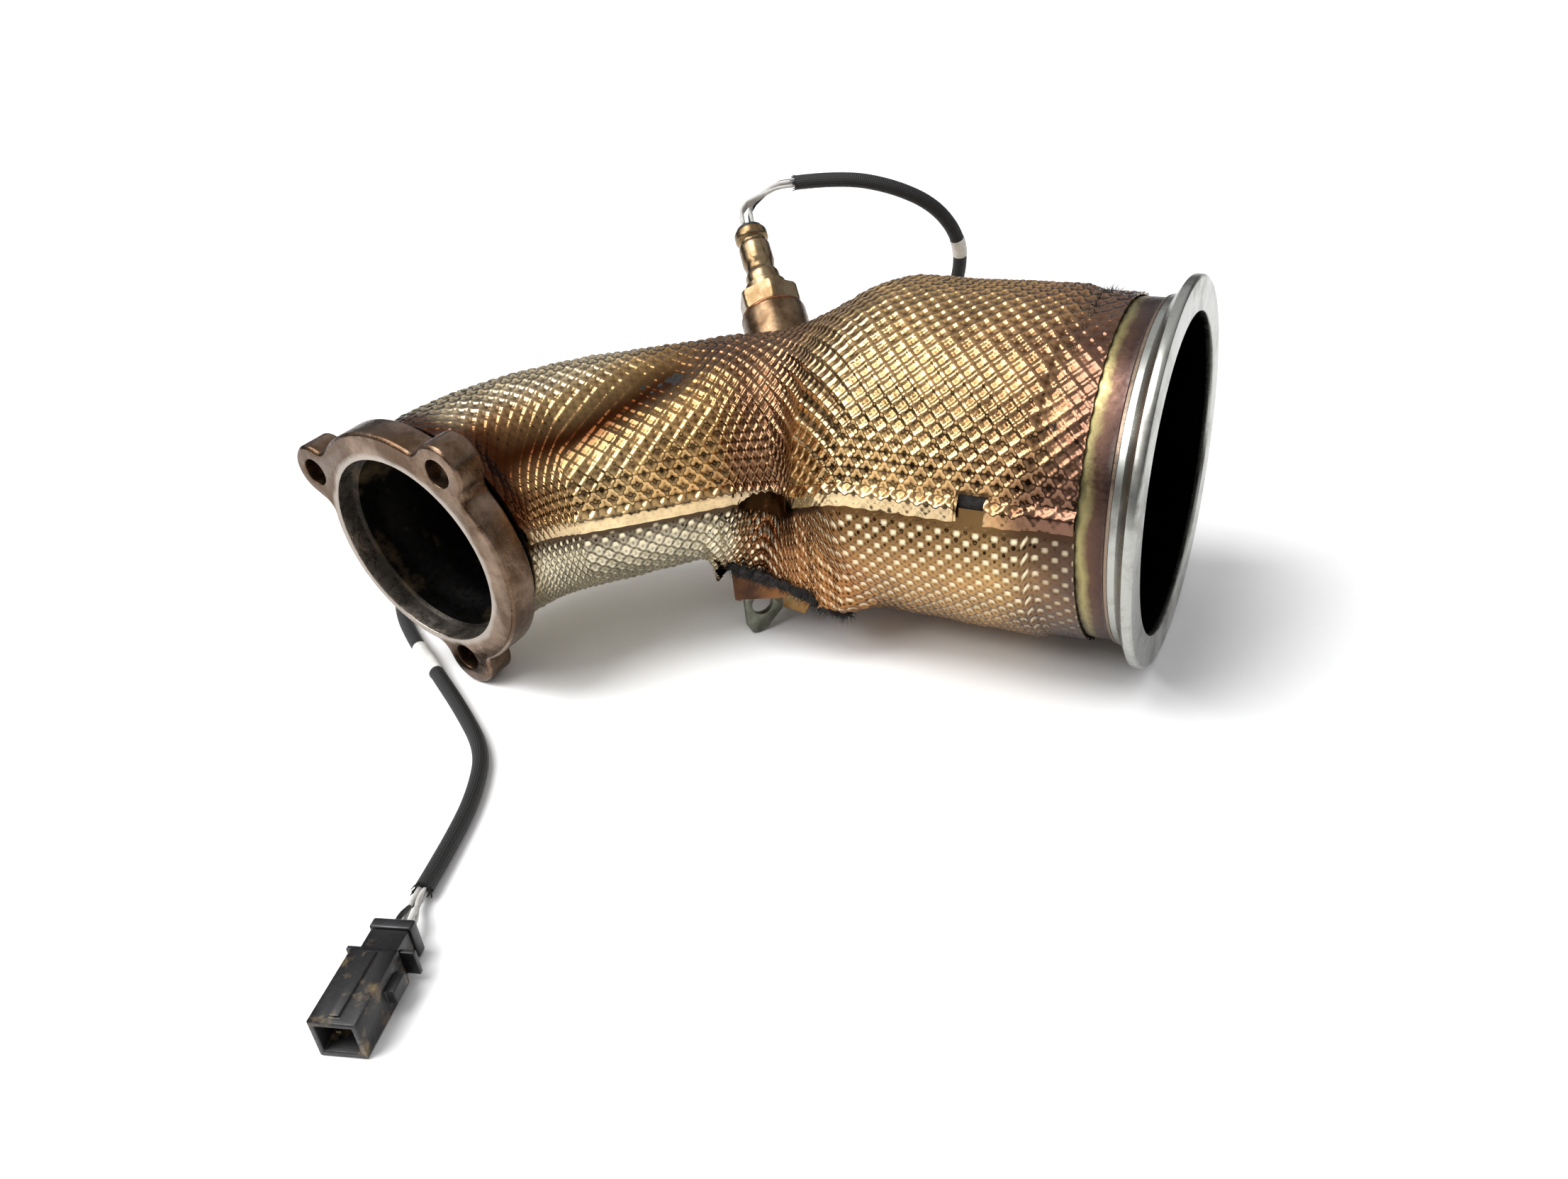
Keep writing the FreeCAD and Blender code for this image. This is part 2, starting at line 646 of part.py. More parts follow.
def build_bracket():
    """Gusset, mount plate and brace, welded to each other and to the can and cone."""
    x0, y0 = INLET.x, INLET.y
    sheet = CELL["bracket_sheet"]
    steel = round_loft(stations(30, CELL["can_end"], 2), steel_radius)
    steel = steel.fuse(round_loft(stations(CELL["can_end"], CELL["cone_end"], 11), steel_radius))

    def plate(corners, base, right, thickness):
        """A sheet in an upright plane: corners are (along, height) from a base point."""
        points = [base + right * along + Vector(0, 0, height) for along, height in corners]
        normal = right.cross(Vector(0, 0, 1))
        face = Part.Face(Part.makePolygon(points + points[:1]))
        return face.extrude(normal * -thickness)

    right = Vector(1, 0, 0)
    corner = Vector(x0 - 148, y0 - 50, 0)
    gusset = plate([(0, 17), (19, 21.5), (31, 26.5), (46, 28), (46, 46), (22, 46), (0, 40)],
                   corner, right, sheet)
    fold = plate([(0, 17), (6, 17), (6, 40), (0, 40)], corner + Vector(0, 0, 0),
                 Vector(0, 1, 0), -sheet)
    clear = round_loft(stations(CELL["can_end"] - 20, CELL["cone_end"] + 40, 21),
                       lambda reach: shield_radius(reach) + 0.5)
    gusset = gusset.fuse(fold).removeSplitter().cut(clear)
    feature("bracket_gusset", gusset)

    slant = Vector(0.62, 0.785, 0)
    slant.normalize()
    foot = Vector(x0 - 145.2, y0 - 47.3, 0)
    mount = plate([(0, 4), (1.5, 1), (4.5, 0), (7.5, 1.2), (15, 8), (15, 30), (0, 30)],
                  foot, slant, sheet)
    hole_axis = slant.cross(Vector(0, 0, 1))
    hole = Part.makeCylinder(CELL["bracket_hole_radius"], 12,
                             foot + slant * 6.8 + Vector(0, 0, 12) - hole_axis * 8, hole_axis)
    mount = mount.cut(hole).cut(gusset)
    feature("bracket_mount_plate", mount)

    heel = foot + slant * 15
    brace = plate([(0, 8), (9, 6.5), (12, 12), (25, 18.2), (25.9, 18.5), (25.9, 40), (20, 40),
                   (10, 19), (0, 18.5)], heel, right, sheet)
    brace = brace.cut(steel).cut(mount)
    feature("bracket_brace", brace)


# --------------------------------------------------------------------------- sensor

def sensor_axis():
    """Where the sensor's axis leaves the gas path, and its direction, up and backwards."""
    origin, _ = station(CELL["sensor_axis_reach"])
    direction = Vector(-0.502, 0.577, 0.645)
    direction.normalize()
    return origin, direction


def build_sensor():
    """Boss, gasket, threaded body, sleeve, grommet and probe, stacked on one axis."""
    origin, direction = sensor_axis()
    across = direction.cross(Vector(0, 0, 1))
    across.normalize()
    thread = CELL["sensor_thread_radius"]
    top = CELL["boss_top"]

    def on_axis(distance):
        return frame(origin + direction * distance, across, direction)

    cone = round_loft(stations(CELL["can_end"], CELL["cone_end"], 11), steel_radius)
    pipe = round_loft(stations(CELL["cone_end"], SECOND_BEND_START, 4), steel_radius)
    boss = Part.makeCylinder(CELL["boss_radius"], top - 20, origin + direction * 20, direction)
    bore = Part.makeCylinder(thread + 0.1, top, origin, direction)
    feature("sensor_boss", boss.cut(cone).cut(pipe).cut(bore))

    gasket_top = top + CELL["gasket_height"]
    washer = helper("Part::Cylinder", "gasket_blank", on_axis(top),
                    Radius=named("boss_radius - 0.6"), Height=named("gasket_height"))
    centre = helper("Part::Cylinder", "gasket_bore", on_axis(top - 1),
                    Radius=named("sensor_thread_radius + 0.1"), Height=named("gasket_height + 2"))
    node(cut("sensor_gasket", washer, centre), "sensor_gasket")

    hexagon = helper("Part::Prism", "sensor_hexagon", on_axis(gasket_top),
                     Circumradius=named("hex_across_flats / 1.7320508"), Height=named("hex_height"))
    hexagon.Polygon = 6
    shank = helper("Part::Cylinder", "sensor_thread", on_axis(top - 14),
                   Radius=named("sensor_thread_radius"), Height="Dimensions.gasket_height + 14")
    collar = helper("Part::Cylinder", "sensor_collar", on_axis(gasket_top + CELL["hex_height"]),
                    Radius=named("sleeve_radius + 2.2"), Height="4 mm")
    node(fuse("sensor_body", [hexagon, shank, collar]), "sensor_body")

    tube_base = top - 14
    tube = helper("Part::Cylinder", "probe_outside", on_axis(tube_base - 16),
                  Radius=named("sleeve_radius - 0.4"), Height="16 mm")
    hollow = helper("Part::Cylinder", "probe_inside", on_axis(tube_base - 15),
                    Radius=named("sleeve_radius - 1.2"), Height="16 mm")
    node(cut("sensor_probe", tube, hollow), "sensor_probe")

    sleeve_base = gasket_top + CELL["hex_height"] + 4
    end = gasket_top + CELL["sensor_height"] - CELL["gasket_height"]
    radius = CELL["sleeve_radius"]
    profile = [(0, 0), (radius + 0.5, 0), (radius + 0.5, 5), (radius - 0.6, 7), (radius - 0.6, 9),
               (radius, 11), (radius, 19), (radius - 0.9, 20), (radius - 0.9, 21.2),
               (radius + 0.3, 22.4), (radius + 0.3, end - sleeve_base - 2), (0, end - sleeve_base - 2)]
    outline = Part.Face(Part.makePolygon([Vector(r, 0, z) for r, z in profile + profile[:1]]))
    sleeve = outline.revolve(Vector(0, 0, 0), Vector(0, 0, 1), 360)
    sleeve.Placement = on_axis(sleeve_base)
    feature("sensor_sleeve", sleeve)

    grommet = helper("Part::Cylinder", "grommet_blank", on_axis(end - 2),
                     Radius=named("sleeve_radius - 0.8"), Height="2 mm")
    node(grommet, "sensor_grommet")
    return on_axis(end)


# ----------------------------------------------------------------------------- lead

LEAD_POINTS = [  # the sleeved lead, from the sensor's wires to the connector's wires
    (-164, 58, 144), (-146, 61, 145.5), (-128, 67, 141.5), (-113, 75, 132.5), (-106, 83, 118),
    (-108, 89, 102), (-116, 93, 86), (-124, 95, 68), (-132, 96, 49), (-141, 96, 31),
    (-153, 94, 15), (-171, 88, 4.5), (-193, 76, 3.1), (-219, 60, 3), (-247, 41, 3.1),
    (-275, 17, 3), (-298, -11, 3.1), (-311, -39, 3), (-309, -62, 3.1), (-291, -83, 3),
    (-267, -100, 3.1), (-242, -114.5, 3), (-218, -129, 2.8), (-196, -144, 2.9), (-185, -160, 3.1),
    (-176.5, -179, 3), (-168.7, -203.3, 3.6),
]


def rounded_path(points):
    """Straight runs joined by tangent arcs as large as the runs allow, with their radii."""
    edges, radii = [], []
    start = points[0]
    for before, here, after in zip(points, points[1:], points[2:]):
        back, on = before - here, after - here
        shorter = min(back.Length, on.Length)
        back.normalize()
        on.normalize()
        turn = math.pi - math.acos(max(-1.0, min(1.0, back.dot(on))))
        trim = 0.45 * shorter
        radii.append(trim / math.tan(turn / 2))
        enter, leave = here + back * trim, here + on * trim
        bisector = back + on
        bisector.normalize()
        centre_reach = math.hypot(radii[-1], trim)
        middle = here + bisector * (centre_reach - radii[-1])
        edges.append(Part.LineSegment(start, enter).toShape())
        edges.append(Part.Arc(enter, middle, leave).toShape())
        start = leave
    edges.append(Part.LineSegment(start, points[-1]).toShape())
    return Part.Wire(edges), radii


def tube(points, radius):
    """A round tube along a rounded path."""
    wire, radii = rounded_path(points)
    direction = points[1] - points[0]
    section = Part.Wire(Part.makeCircle(radius, points[0], direction))
    solid = wire.makePipeShell([section], True, False)
    return solid, wire, radii


def bare_wire(points):
    """A thin wire through the points, its section a regular polygon."""
    axis = points[1] - points[0]
    side = axis.cross(Vector(0.3, 0.2, 1)).normalize()
    place = frame(points[0], side, axis.normalize())
    size, count = CELL["wire_radius"], 10
    corners = [place.multVec(Vector(size * math.cos(turn), size * math.sin(turn), 0))
               for turn in (2 * math.pi * i / count for i in range(count + 1))]
    spine = Part.makePolygon(points)
    return spine.makePipeShell([Part.makePolygon(corners)], True, False, 1)


def in_place(rows):
    """Points given from the inlet face's foot on the surface."""
    return [Vector(INLET.x + x, INLET.y + y, z) for x, y, z in rows]


def build_lead(sensor_end):
    """The sleeved lead, its tapes, the bare wires at both ends and the connector."""
    route = in_place(LEAD_POINTS)
    lead, wire, radii = tube(route, CELL["lead_radius"])
    feature("lead_sleeve", lead)
    ideal = math.pi * CELL["lead_radius"] ** 2 * wire.Length
    print("lead length %.1f, volume ratio %.4f" % (wire.Length, lead.Volume / ideal))
    print("lead bend radii", [round(r, 1) for r in radii])

    for label, first, last in (("tape_band_upper", 0.115, 0.142), ("tape_band_lower", 0.74, 0.785)):
        feature(label, band(wire, first, last))

    wires = []
    start_frame = sensor_end
    axis = start_frame.Rotation.multVec(Vector(0, 0, 1))
    entry = (route[0] - route[1]).normalize()
    for i in range(4):
        turn = math.radians(45 + 90 * i)
        offset = Vector(2.6 * math.cos(turn), 2.6 * math.sin(turn), 0)
        inner = Vector(1.1 * math.cos(turn), 1.1 * math.sin(turn), 0)
        leave = start_frame.multVec(offset)
        spread = frame(route[0], entry.cross(Vector(0, 0, 1)).normalize(), entry * -1)
        arrive = spread.multVec(inner)
        points = [leave, leave + axis * 6, leave + axis * 9 + (arrive - leave) * 0.1,
                  arrive + entry * 8, arrive + entry * 5, arrive]
        wires.append(bare_wire(points))
    feature("sensor_wires", Part.makeCompound(wires))

    build_connector(route)


def band(wire, first, last):
    """A wrap of tape round the lead between two shares of its length."""
    samples = wire.discretize(400)
    part = samples[int(first * 399):int(last * 399) + 1]
    line = Part.BSplineCurve()
    line.interpolate(part)
    spine = Part.Wire(line.toShape())
    section = Part.Wire(Part.makeCircle(CELL["lead_radius"] + CELL["tape_build"], part[0], part[1] - part[0]))
    wrap = spine.makePipeShell([section], True, False)
    core, _, _ = tube(in_place(LEAD_POINTS), CELL["lead_radius"])
    return wrap.cut(core)


CONNECTOR_TAIL = (-160.7, -220.6)
CONNECTOR_DIRECTION = (0.305, -0.952)


def build_connector(route):
    """The plug with its rear cap, lock plate and contacts, lying on the surface."""
    x, y = CONNECTOR_TAIL
    tail = Vector(INLET.x + x, INLET.y + y, 0.3)
    ahead = Vector(CONNECTOR_DIRECTION[0], CONNECTOR_DIRECTION[1], 0).normalize()
    place = frame(tail, ahead, Vector(0, 0, 1))

    def block(start, end, width, low, high):
        """A box round the plug's own axis, in its local frame."""
        return Part.makeBox(end - start, width, high - low, Vector(start, -width / 2, low))

    shell = block(11.5, 36, 13.5, 0, 12.5).cut(block(20, 37, 10.5, 1.6, 10.9))
    neck = block(3.5, 11.5, 11, 1, 11)
    latch = Part.makeBox(7, 2.6, 4.5, Vector(15, 6.75, 4))
    ridge = block(13, 34, 3, 12.5, 13.2)
    housing = shell.fuse([neck, latch, ridge]).removeSplitter()
    seal = block(0, 3.5, 12.5, 0.4, 11.6)
    lock = block(9.0, 10.4, 20, 2, 10).cut(block(8.5, 11, 11, 0, 12))
    pins = [Part.makeBox(12, 1.4, 0.8, Vector(20, y_off - 0.7, z_off - 0.4))
            for y_off in (-2.4, 2.4) for z_off in (4.2, 8.2)]
    for label, shape in (("connector_housing", housing), ("connector_seal_cap", seal),
                         ("connector_lock_plate", lock),
                         ("connector_pins", Part.makeCompound(pins))):
        shape.Placement = place
        feature(label, shape)

    leave = (route[-1] - route[-2]).normalize()
    spread = frame(route[-1], leave.cross(Vector(0, 0, 1)).normalize(), leave)
    wires = []
    for i in range(4):
        turn = math.radians(45 + 90 * i)
        start = spread.multVec(Vector(1.1 * math.cos(turn), 1.1 * math.sin(turn), 0))
        end = place.multVec(Vector(0, -(2.6 * math.cos(turn)), 6 + 2.0 * math.sin(turn)))
        wires.append(bare_wire([start, start + leave * 6, end - ahead * 6, end]))
    feature("connector_wires", Part.makeCompound(wires))


# ---------------------------------------------------------------------------- output

def check_and_write():
    """Stop on any failed object or shape, then write one file for each piece."""
    DOC.recompute()
    for obj in DOC.Objects:
        if "Invalid" in obj.State or "Error" in obj.State:
            raise RuntimeError("%s failed: %s" % (obj.Label, obj.State))
    os.makedirs("parts", exist_ok=True)
    for piece in NODES:
        shape = piece.Shape
        box = shape.optimalBoundingBox(True, False)
        print("%-24s solids %d volume %9.1f valid %s box %s" % (
            piece.Label, len(shape.Solids), shape.Volume, shape.isValid(),
            [round(v, 1) for v in (box.XMin, box.XMax, box.YMin, box.YMax, box.ZMin, box.ZMax)]))
        if shape.isNull() or not shape.isValid() or shape.Volume <= 0:
            raise RuntimeError("%s has no valid solid" % piece.Label)
        shape.exportStep("parts/%s.step" % piece.Label)
    print("wrote %d pieces" % len(NODES))


build_can()
build_neck()
build_outlet_flange()
build_shields()
build_bracket()
build_lead(build_sensor())
check_and_write()
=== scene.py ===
"""Catalytic converter with its oxygen sensor: the visual model, built round its CAD frame."""
import logging
import math
from dataclasses import dataclass, field
from enum import Enum

import bmesh
import bpy
import numpy as np
from mathutils import Matrix, Vector


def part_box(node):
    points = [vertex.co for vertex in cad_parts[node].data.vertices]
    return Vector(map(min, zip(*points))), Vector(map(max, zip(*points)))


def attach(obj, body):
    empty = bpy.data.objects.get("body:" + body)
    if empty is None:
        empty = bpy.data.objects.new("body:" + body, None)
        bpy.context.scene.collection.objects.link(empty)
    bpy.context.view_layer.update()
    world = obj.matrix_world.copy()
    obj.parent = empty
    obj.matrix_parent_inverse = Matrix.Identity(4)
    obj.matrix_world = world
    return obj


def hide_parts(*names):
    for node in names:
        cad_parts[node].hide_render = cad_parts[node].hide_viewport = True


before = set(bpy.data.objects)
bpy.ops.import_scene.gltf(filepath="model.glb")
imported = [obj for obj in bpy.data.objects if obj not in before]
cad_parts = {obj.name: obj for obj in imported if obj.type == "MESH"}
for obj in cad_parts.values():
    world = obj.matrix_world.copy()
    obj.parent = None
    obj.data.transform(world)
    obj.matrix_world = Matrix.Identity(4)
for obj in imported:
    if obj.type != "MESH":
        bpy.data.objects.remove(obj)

LOG = logging.getLogger("converter")
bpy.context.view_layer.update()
MM = 0.001
Socket = bpy.types.NodeSocket
Node = bpy.types.Node
Tree = bpy.types.NodeTree
Piece = bpy.types.Object
Stops = tuple[tuple[float, str], ...]


# ------------------------------------------------------------------ small tools


def linear(code: str) -> tuple[float, float, float, float]:
    """A colour for the shaders.

    Args:
        code: the colour as six sRGB hex digits.

    Returns:
        The linear red, green, blue and alpha.
    """
    parts = [int(code[i:i + 2], 16) / 255 for i in (0, 2, 4)]
    parts = [p / 12.92 if p <= 0.04045 else ((p + 0.055) / 1.055) ** 2.4 for p in parts]
    return (*parts, 1.0)


def live(node: Node) -> Socket:
    """A node's first output that its settings leave in use."""
    return next(socket for socket in node.outputs if socket.enabled)


def unit(ways: np.ndarray) -> np.ndarray:
    """Directions brought to a length of one."""
    return ways / np.linalg.norm(ways, axis=-1, keepdims=True)


def spoke(side: np.ndarray | Vector, up: np.ndarray | Vector,
          turn: float) -> np.ndarray | Vector:
    """The direction at an angle round an axis, from the two that are square to it."""
    return side * math.cos(turn) + up * math.sin(turn)


def distances(line: np.ndarray) -> np.ndarray:
    """How far along a line each of its points is."""
    return np.concatenate([[0], np.cumsum(np.linalg.norm(np.diff(line, axis=0), axis=1))])


def along_line(wanted: np.ndarray, marks: np.ndarray, line: np.ndarray) -> np.ndarray:
    """A line's places at wanted marks, given each point's own mark."""
    return np.stack([np.interp(wanted, marks, line[:, i]) for i in range(3)], 1)


def shade(mesh: bpy.types.Mesh, smooth: float) -> None:
    """Smooth a mesh's shading, with edges sharper than an angle in degrees left crisp."""
    mesh.shade_smooth()
    mesh.set_sharp_from_angle(angle=math.radians(smooth))


def stand(name: str, data: bpy.types.ID) -> Piece:
    """An object for a mesh, curve, light or camera, linked to the scene."""
    made = bpy.data.objects.new(name, data)
    bpy.context.scene.collection.objects.link(made)
    return made


def welded(node: str) -> bmesh.types.BMesh:
    """A CAD node's mesh with the vertices that share a place made one."""
    work = bmesh.new()
    work.from_mesh(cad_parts[node].data)
    bmesh.ops.remove_doubles(work, verts=work.verts, dist=2e-6)
    return work


def add(tree: Tree, kind: str, inputs: dict | None = None,
        stops: Stops = (), to: Socket | None = None, **settings: object) -> Node:
    """Add a node with its settings and links; a node given as a value feeds it by its live output.

    Args:
        tree: the node tree.
        kind: the node's type.
        inputs: socket name or number, to its value or to the node or output that feeds it.
        stops: places and hex colours, for a colour ramp.
        to: the input that the new node feeds.
        settings: the node's own attributes.

    Returns:
        The new node.
    """
    made = tree.nodes.new(kind)
    for name, value in settings.items():
        setattr(made, name, value)
    for name, value in (inputs or {}).items():
        value = live(value) if isinstance(value, Node) else value
        if isinstance(value, Socket):
            tree.links.new(value, made.inputs[name])
        else:
            made.inputs[name].default_value = value
    for i, (spot, code) in enumerate(stops):
        ramp = made.color_ramp.elements
        stop = ramp[i] if i < 2 else ramp.new(spot)
        stop.position = spot
        stop.color = linear(code)
    if to:
        tree.links.new(live(made), to)
    return made


def ease(value: np.ndarray | float) -> np.ndarray | float:
    """0 to 1 with level ends, as a pressed transition runs."""
    return 0.5 - 0.5 * np.cos(np.pi * np.clip(value, 0.0, 1.0))


def blend(value: np.ndarray | float, start: float, end: float,
          before: float, after: float) -> np.ndarray | float:
    """A size that changes smoothly from one value to another between two places."""
    return before + (after - before) * ease((value - start) / (end - start))


def new_object(name: str, verts: np.ndarray, faces: list, smooth: float = 30.0) -> Piece:
    """An object whose place is in its mesh, with edges sharper than an angle left crisp.

    Args:
        name: the piece's name.
        verts: vertex positions in metres.
        faces: tuples of vertex numbers.
        smooth: the angle, in degrees.

    Returns:
        The object, linked to the scene.
    """
    mesh = bpy.data.meshes.new(name)
    mesh.from_pydata(np.asarray(verts, float).tolist(), [], [tuple(f) for f in faces])
    mesh.update()
    shade(mesh, smooth)
    return stand(name, mesh)


def outwards(obj: Piece) -> None:
    """Turn every face of a closed piece outwards.

    Args:
        obj: the piece.
    """
    work = bmesh.new()
    work.from_mesh(obj.data)
    bmesh.ops.remove_doubles(work, verts=work.verts, dist=1e-6)
    bmesh.ops.recalc_face_normals(work, faces=work.faces)
    work.to_mesh(obj.data)
    work.free()


def settle(obj: Piece, smooth: float = 30.0) -> None:
    """Turn a piece's modifiers into plain mesh.

    Args:
        obj: the piece.
        smooth: the angle over which edges stay crisp, in degrees.
    """
    graph = bpy.context.evaluated_depsgraph_get()
    graph.update()
    mesh = bpy.data.meshes.new_from_object(
        obj.evaluated_get(graph), preserve_all_data_layers=True, depsgraph=graph)
    obj.modifiers.clear()
    obj.data = mesh
    shade(mesh, smooth)


def coat(obj: Piece, finish: "Finish") -> None:
    """Make a finish an object's only material."""
    obj.data.materials.clear()
    obj.data.materials.append(finish.material())


def place(obj: Piece, finish: "Finish", slot: str, *nodes: str) -> Piece:
    """Give a finished piece its material and its body, and hide the CAD nodes it stands for.

    Args:
        obj: the piece.
        finish: its finish.
        slot: its material slot; not used.
        nodes: the CAD nodes it stands for.

    Returns:
        The piece.
    """
    coat(obj, finish)
    if nodes:
        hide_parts(*nodes)
    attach(obj, "root")
    LOG.info("%s in %s", obj.name, finish.name)
    return obj


def dress(node: str, finish: "Finish") -> None:
    """Give a CAD node that stays as it is a better material."""
    coat(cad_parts[node], finish)


def ring_faces(rings: int, sides: int, closed: bool = False) -> list[tuple[int, ...]]:
    """Quads between successive rings of vertices.

    Args:
        rings: how many rings.
        sides: how many vertices each has.
        closed: whether the last ring joins the first.

    Returns:
        The quads, as tuples of vertex numbers.
    """
    faces = []
    for i in range(rings if closed else rings - 1):
        j = (i + 1) % rings
        for k in range(sides):
            n = (k + 1) % sides
            faces.append((i * sides + k, i * sides + n, j * sides + n, j * sides + k))
    return faces


def caps(rings: int, sides: int) -> list[tuple[int, ...]]:
    """The two faces that close the first and the last ring."""
    last = (rings - 1) * sides
    return [tuple(range(sides))[::-1], tuple(range(last, last + sides))]


def lathe(name: str, profile: list[tuple[float, float]], origin: Vector, axis: Vector,
          sides: int = 160, smooth: float = 28.0) -> Piece:
    """A closed ring turned about an axis.

    Args:
        name: the piece's name.
        profile: its section, (radius, distance along the axis) in mm, as a closed loop.
        origin: the axis's start, in metres.
        axis: its direction.
        sides: how many sides the circle has.
        smooth: the angle over which edges stay crisp, in degrees.

    Returns:
        The turned piece.
    """
    axis = axis.normalized()
    side = axis.orthogonal().normalized()
    up = axis.cross(side)
    turns = np.linspace(0, 2 * math.pi, sides, endpoint=False)
    spokes = np.outer(np.cos(turns), np.array(side)) + np.outer(np.sin(turns), np.array(up))
    verts = np.concatenate([
        np.array(origin) + np.array(axis) * (along * MM) + spokes * (radius * MM)
        for radius, along in profile])
    made = new_object(name, verts, ring_faces(len(profile), sides, closed=True), smooth)
    outwards(made)
    shade(made.data, smooth)
    return made


def rounded(corners: list[tuple[float, float]], radius: float,
            steps: int = 3) -> list[tuple[float, float]]:
    """A closed section with its corners rounded, as a lathe tool or a press leaves them.

    Args:
        corners: the section's corners in mm.
        radius: the rounding in mm, less where a side is too short for it.
        steps: how many steps round each corner.

    Returns:
        The rounded section.
    """
    points = [Vector(c) for c in corners]
    result = []
    for i, here in enumerate(points):
        before, after = points[i - 1] - here, points[(i + 1) % len(points)] - here
        trim = min(radius, before.length * 0.45, after.length * 0.45)
        start, end = here + before.normalized() * trim, here + after.normalized() * trim
        for k in range(steps + 1):
            t = k / steps
            spot = start * (1 - t) ** 2 + here * 2 * t * (1 - t) + end * t ** 2
            result.append((spot.x, spot.y))
    return result


def sweep(points: np.ndarray, radius: np.ndarray | float,
          sides: int = 16) -> tuple[np.ndarray, list, np.ndarray]:
    """A round tube with closed ends along a line of points.

    Args:
        points: the line, in metres.
        radius: one radius, or one for each point, in metres.
        sides: how many sides the tube has.

    Returns:
        Vertices, faces, and for each vertex its distance along the line and round the tube.
    """
    points = np.asarray(points, float)
    count = len(points)
    sizes = np.broadcast_to(radius, count)
    ahead = unit(np.gradient(points, axis=0))
    side = np.array(Vector(ahead[0]).orthogonal().normalized())
    run = distances(points)
    turns = np.linspace(0, 2 * math.pi, sides, endpoint=False)
    verts, marks = [], []
    for i in range(count):
        side = unit(side - ahead[i] * (side @ ahead[i]))
        up = np.cross(ahead[i], side)
        for turn in turns:
            verts.append(points[i] + spoke(side, up, turn) * sizes[i])
            marks.append((run[i], turn * sizes[i]))
    faces = ring_faces(count, sides) + caps(count, sides)
    return np.array(verts), faces, np.array(marks)


def tube(name: str, lines: list[np.ndarray], radius: float, sides: int = 16) -> Piece:
    """One piece of one or more round tubes, with its distances stored for the finish.

    Args:
        name: the piece's name.
        lines: each tube's line, in metres.
        radius: their radius, in metres.
        sides: how many sides each tube has.

    Returns:
        The piece.
    """
    verts, faces, marks, start = [], [], [], 0
    for line in lines:
        v, f, m = sweep(line, radius, sides)
        verts.append(v)
        marks.append(m)
        faces += [tuple(i + start for i in face) for face in f]
        start += len(v)
    made = new_object(name, np.concatenate(verts), faces, 40)
    store(made, "along", np.concatenate(marks)[:, 0])
    store(made, "around", np.concatenate(marks)[:, 1])
    return made


def store(obj: Piece, name: str, values: np.ndarray) -> None:
    """Keep one number for each vertex in the mesh."""
    layer = obj.data.attributes.new(name, "FLOAT", "POINT")
    layer.data.foreach_set("value", np.asarray(values, np.float32))


def soft_copy(node: str, width: float, segments: int = 2) -> Piece:
    """A CAD node's flat-sided form with its edges broken, as a press or a mould leaves them.

    Args:
        node: the CAD node.
        width: how wide the broken edges are, in mm.
        segments: how many steps round each edge.

    Returns:
        The new piece.
    """
    work = welded(node)
    bmesh.ops.dissolve_limit(work, angle_limit=math.radians(1.0), verts=work.verts,
                             edges=work.edges)
    mesh = bpy.data.meshes.new(node + "_formed")
    work.to_mesh(mesh)
    work.free()
    made = stand(node + "_formed", mesh)
    edge = made.modifiers.new("edges", "BEVEL")
    edge.width = width * MM
    edge.segments = segments
    edge.limit_method = "ANGLE"
    edge.angle_limit = math.radians(32)
    edge.use_clamp_overlap = True
    settle(made, 40)
    return made


# ------------------------------------------------------------------- the gas path


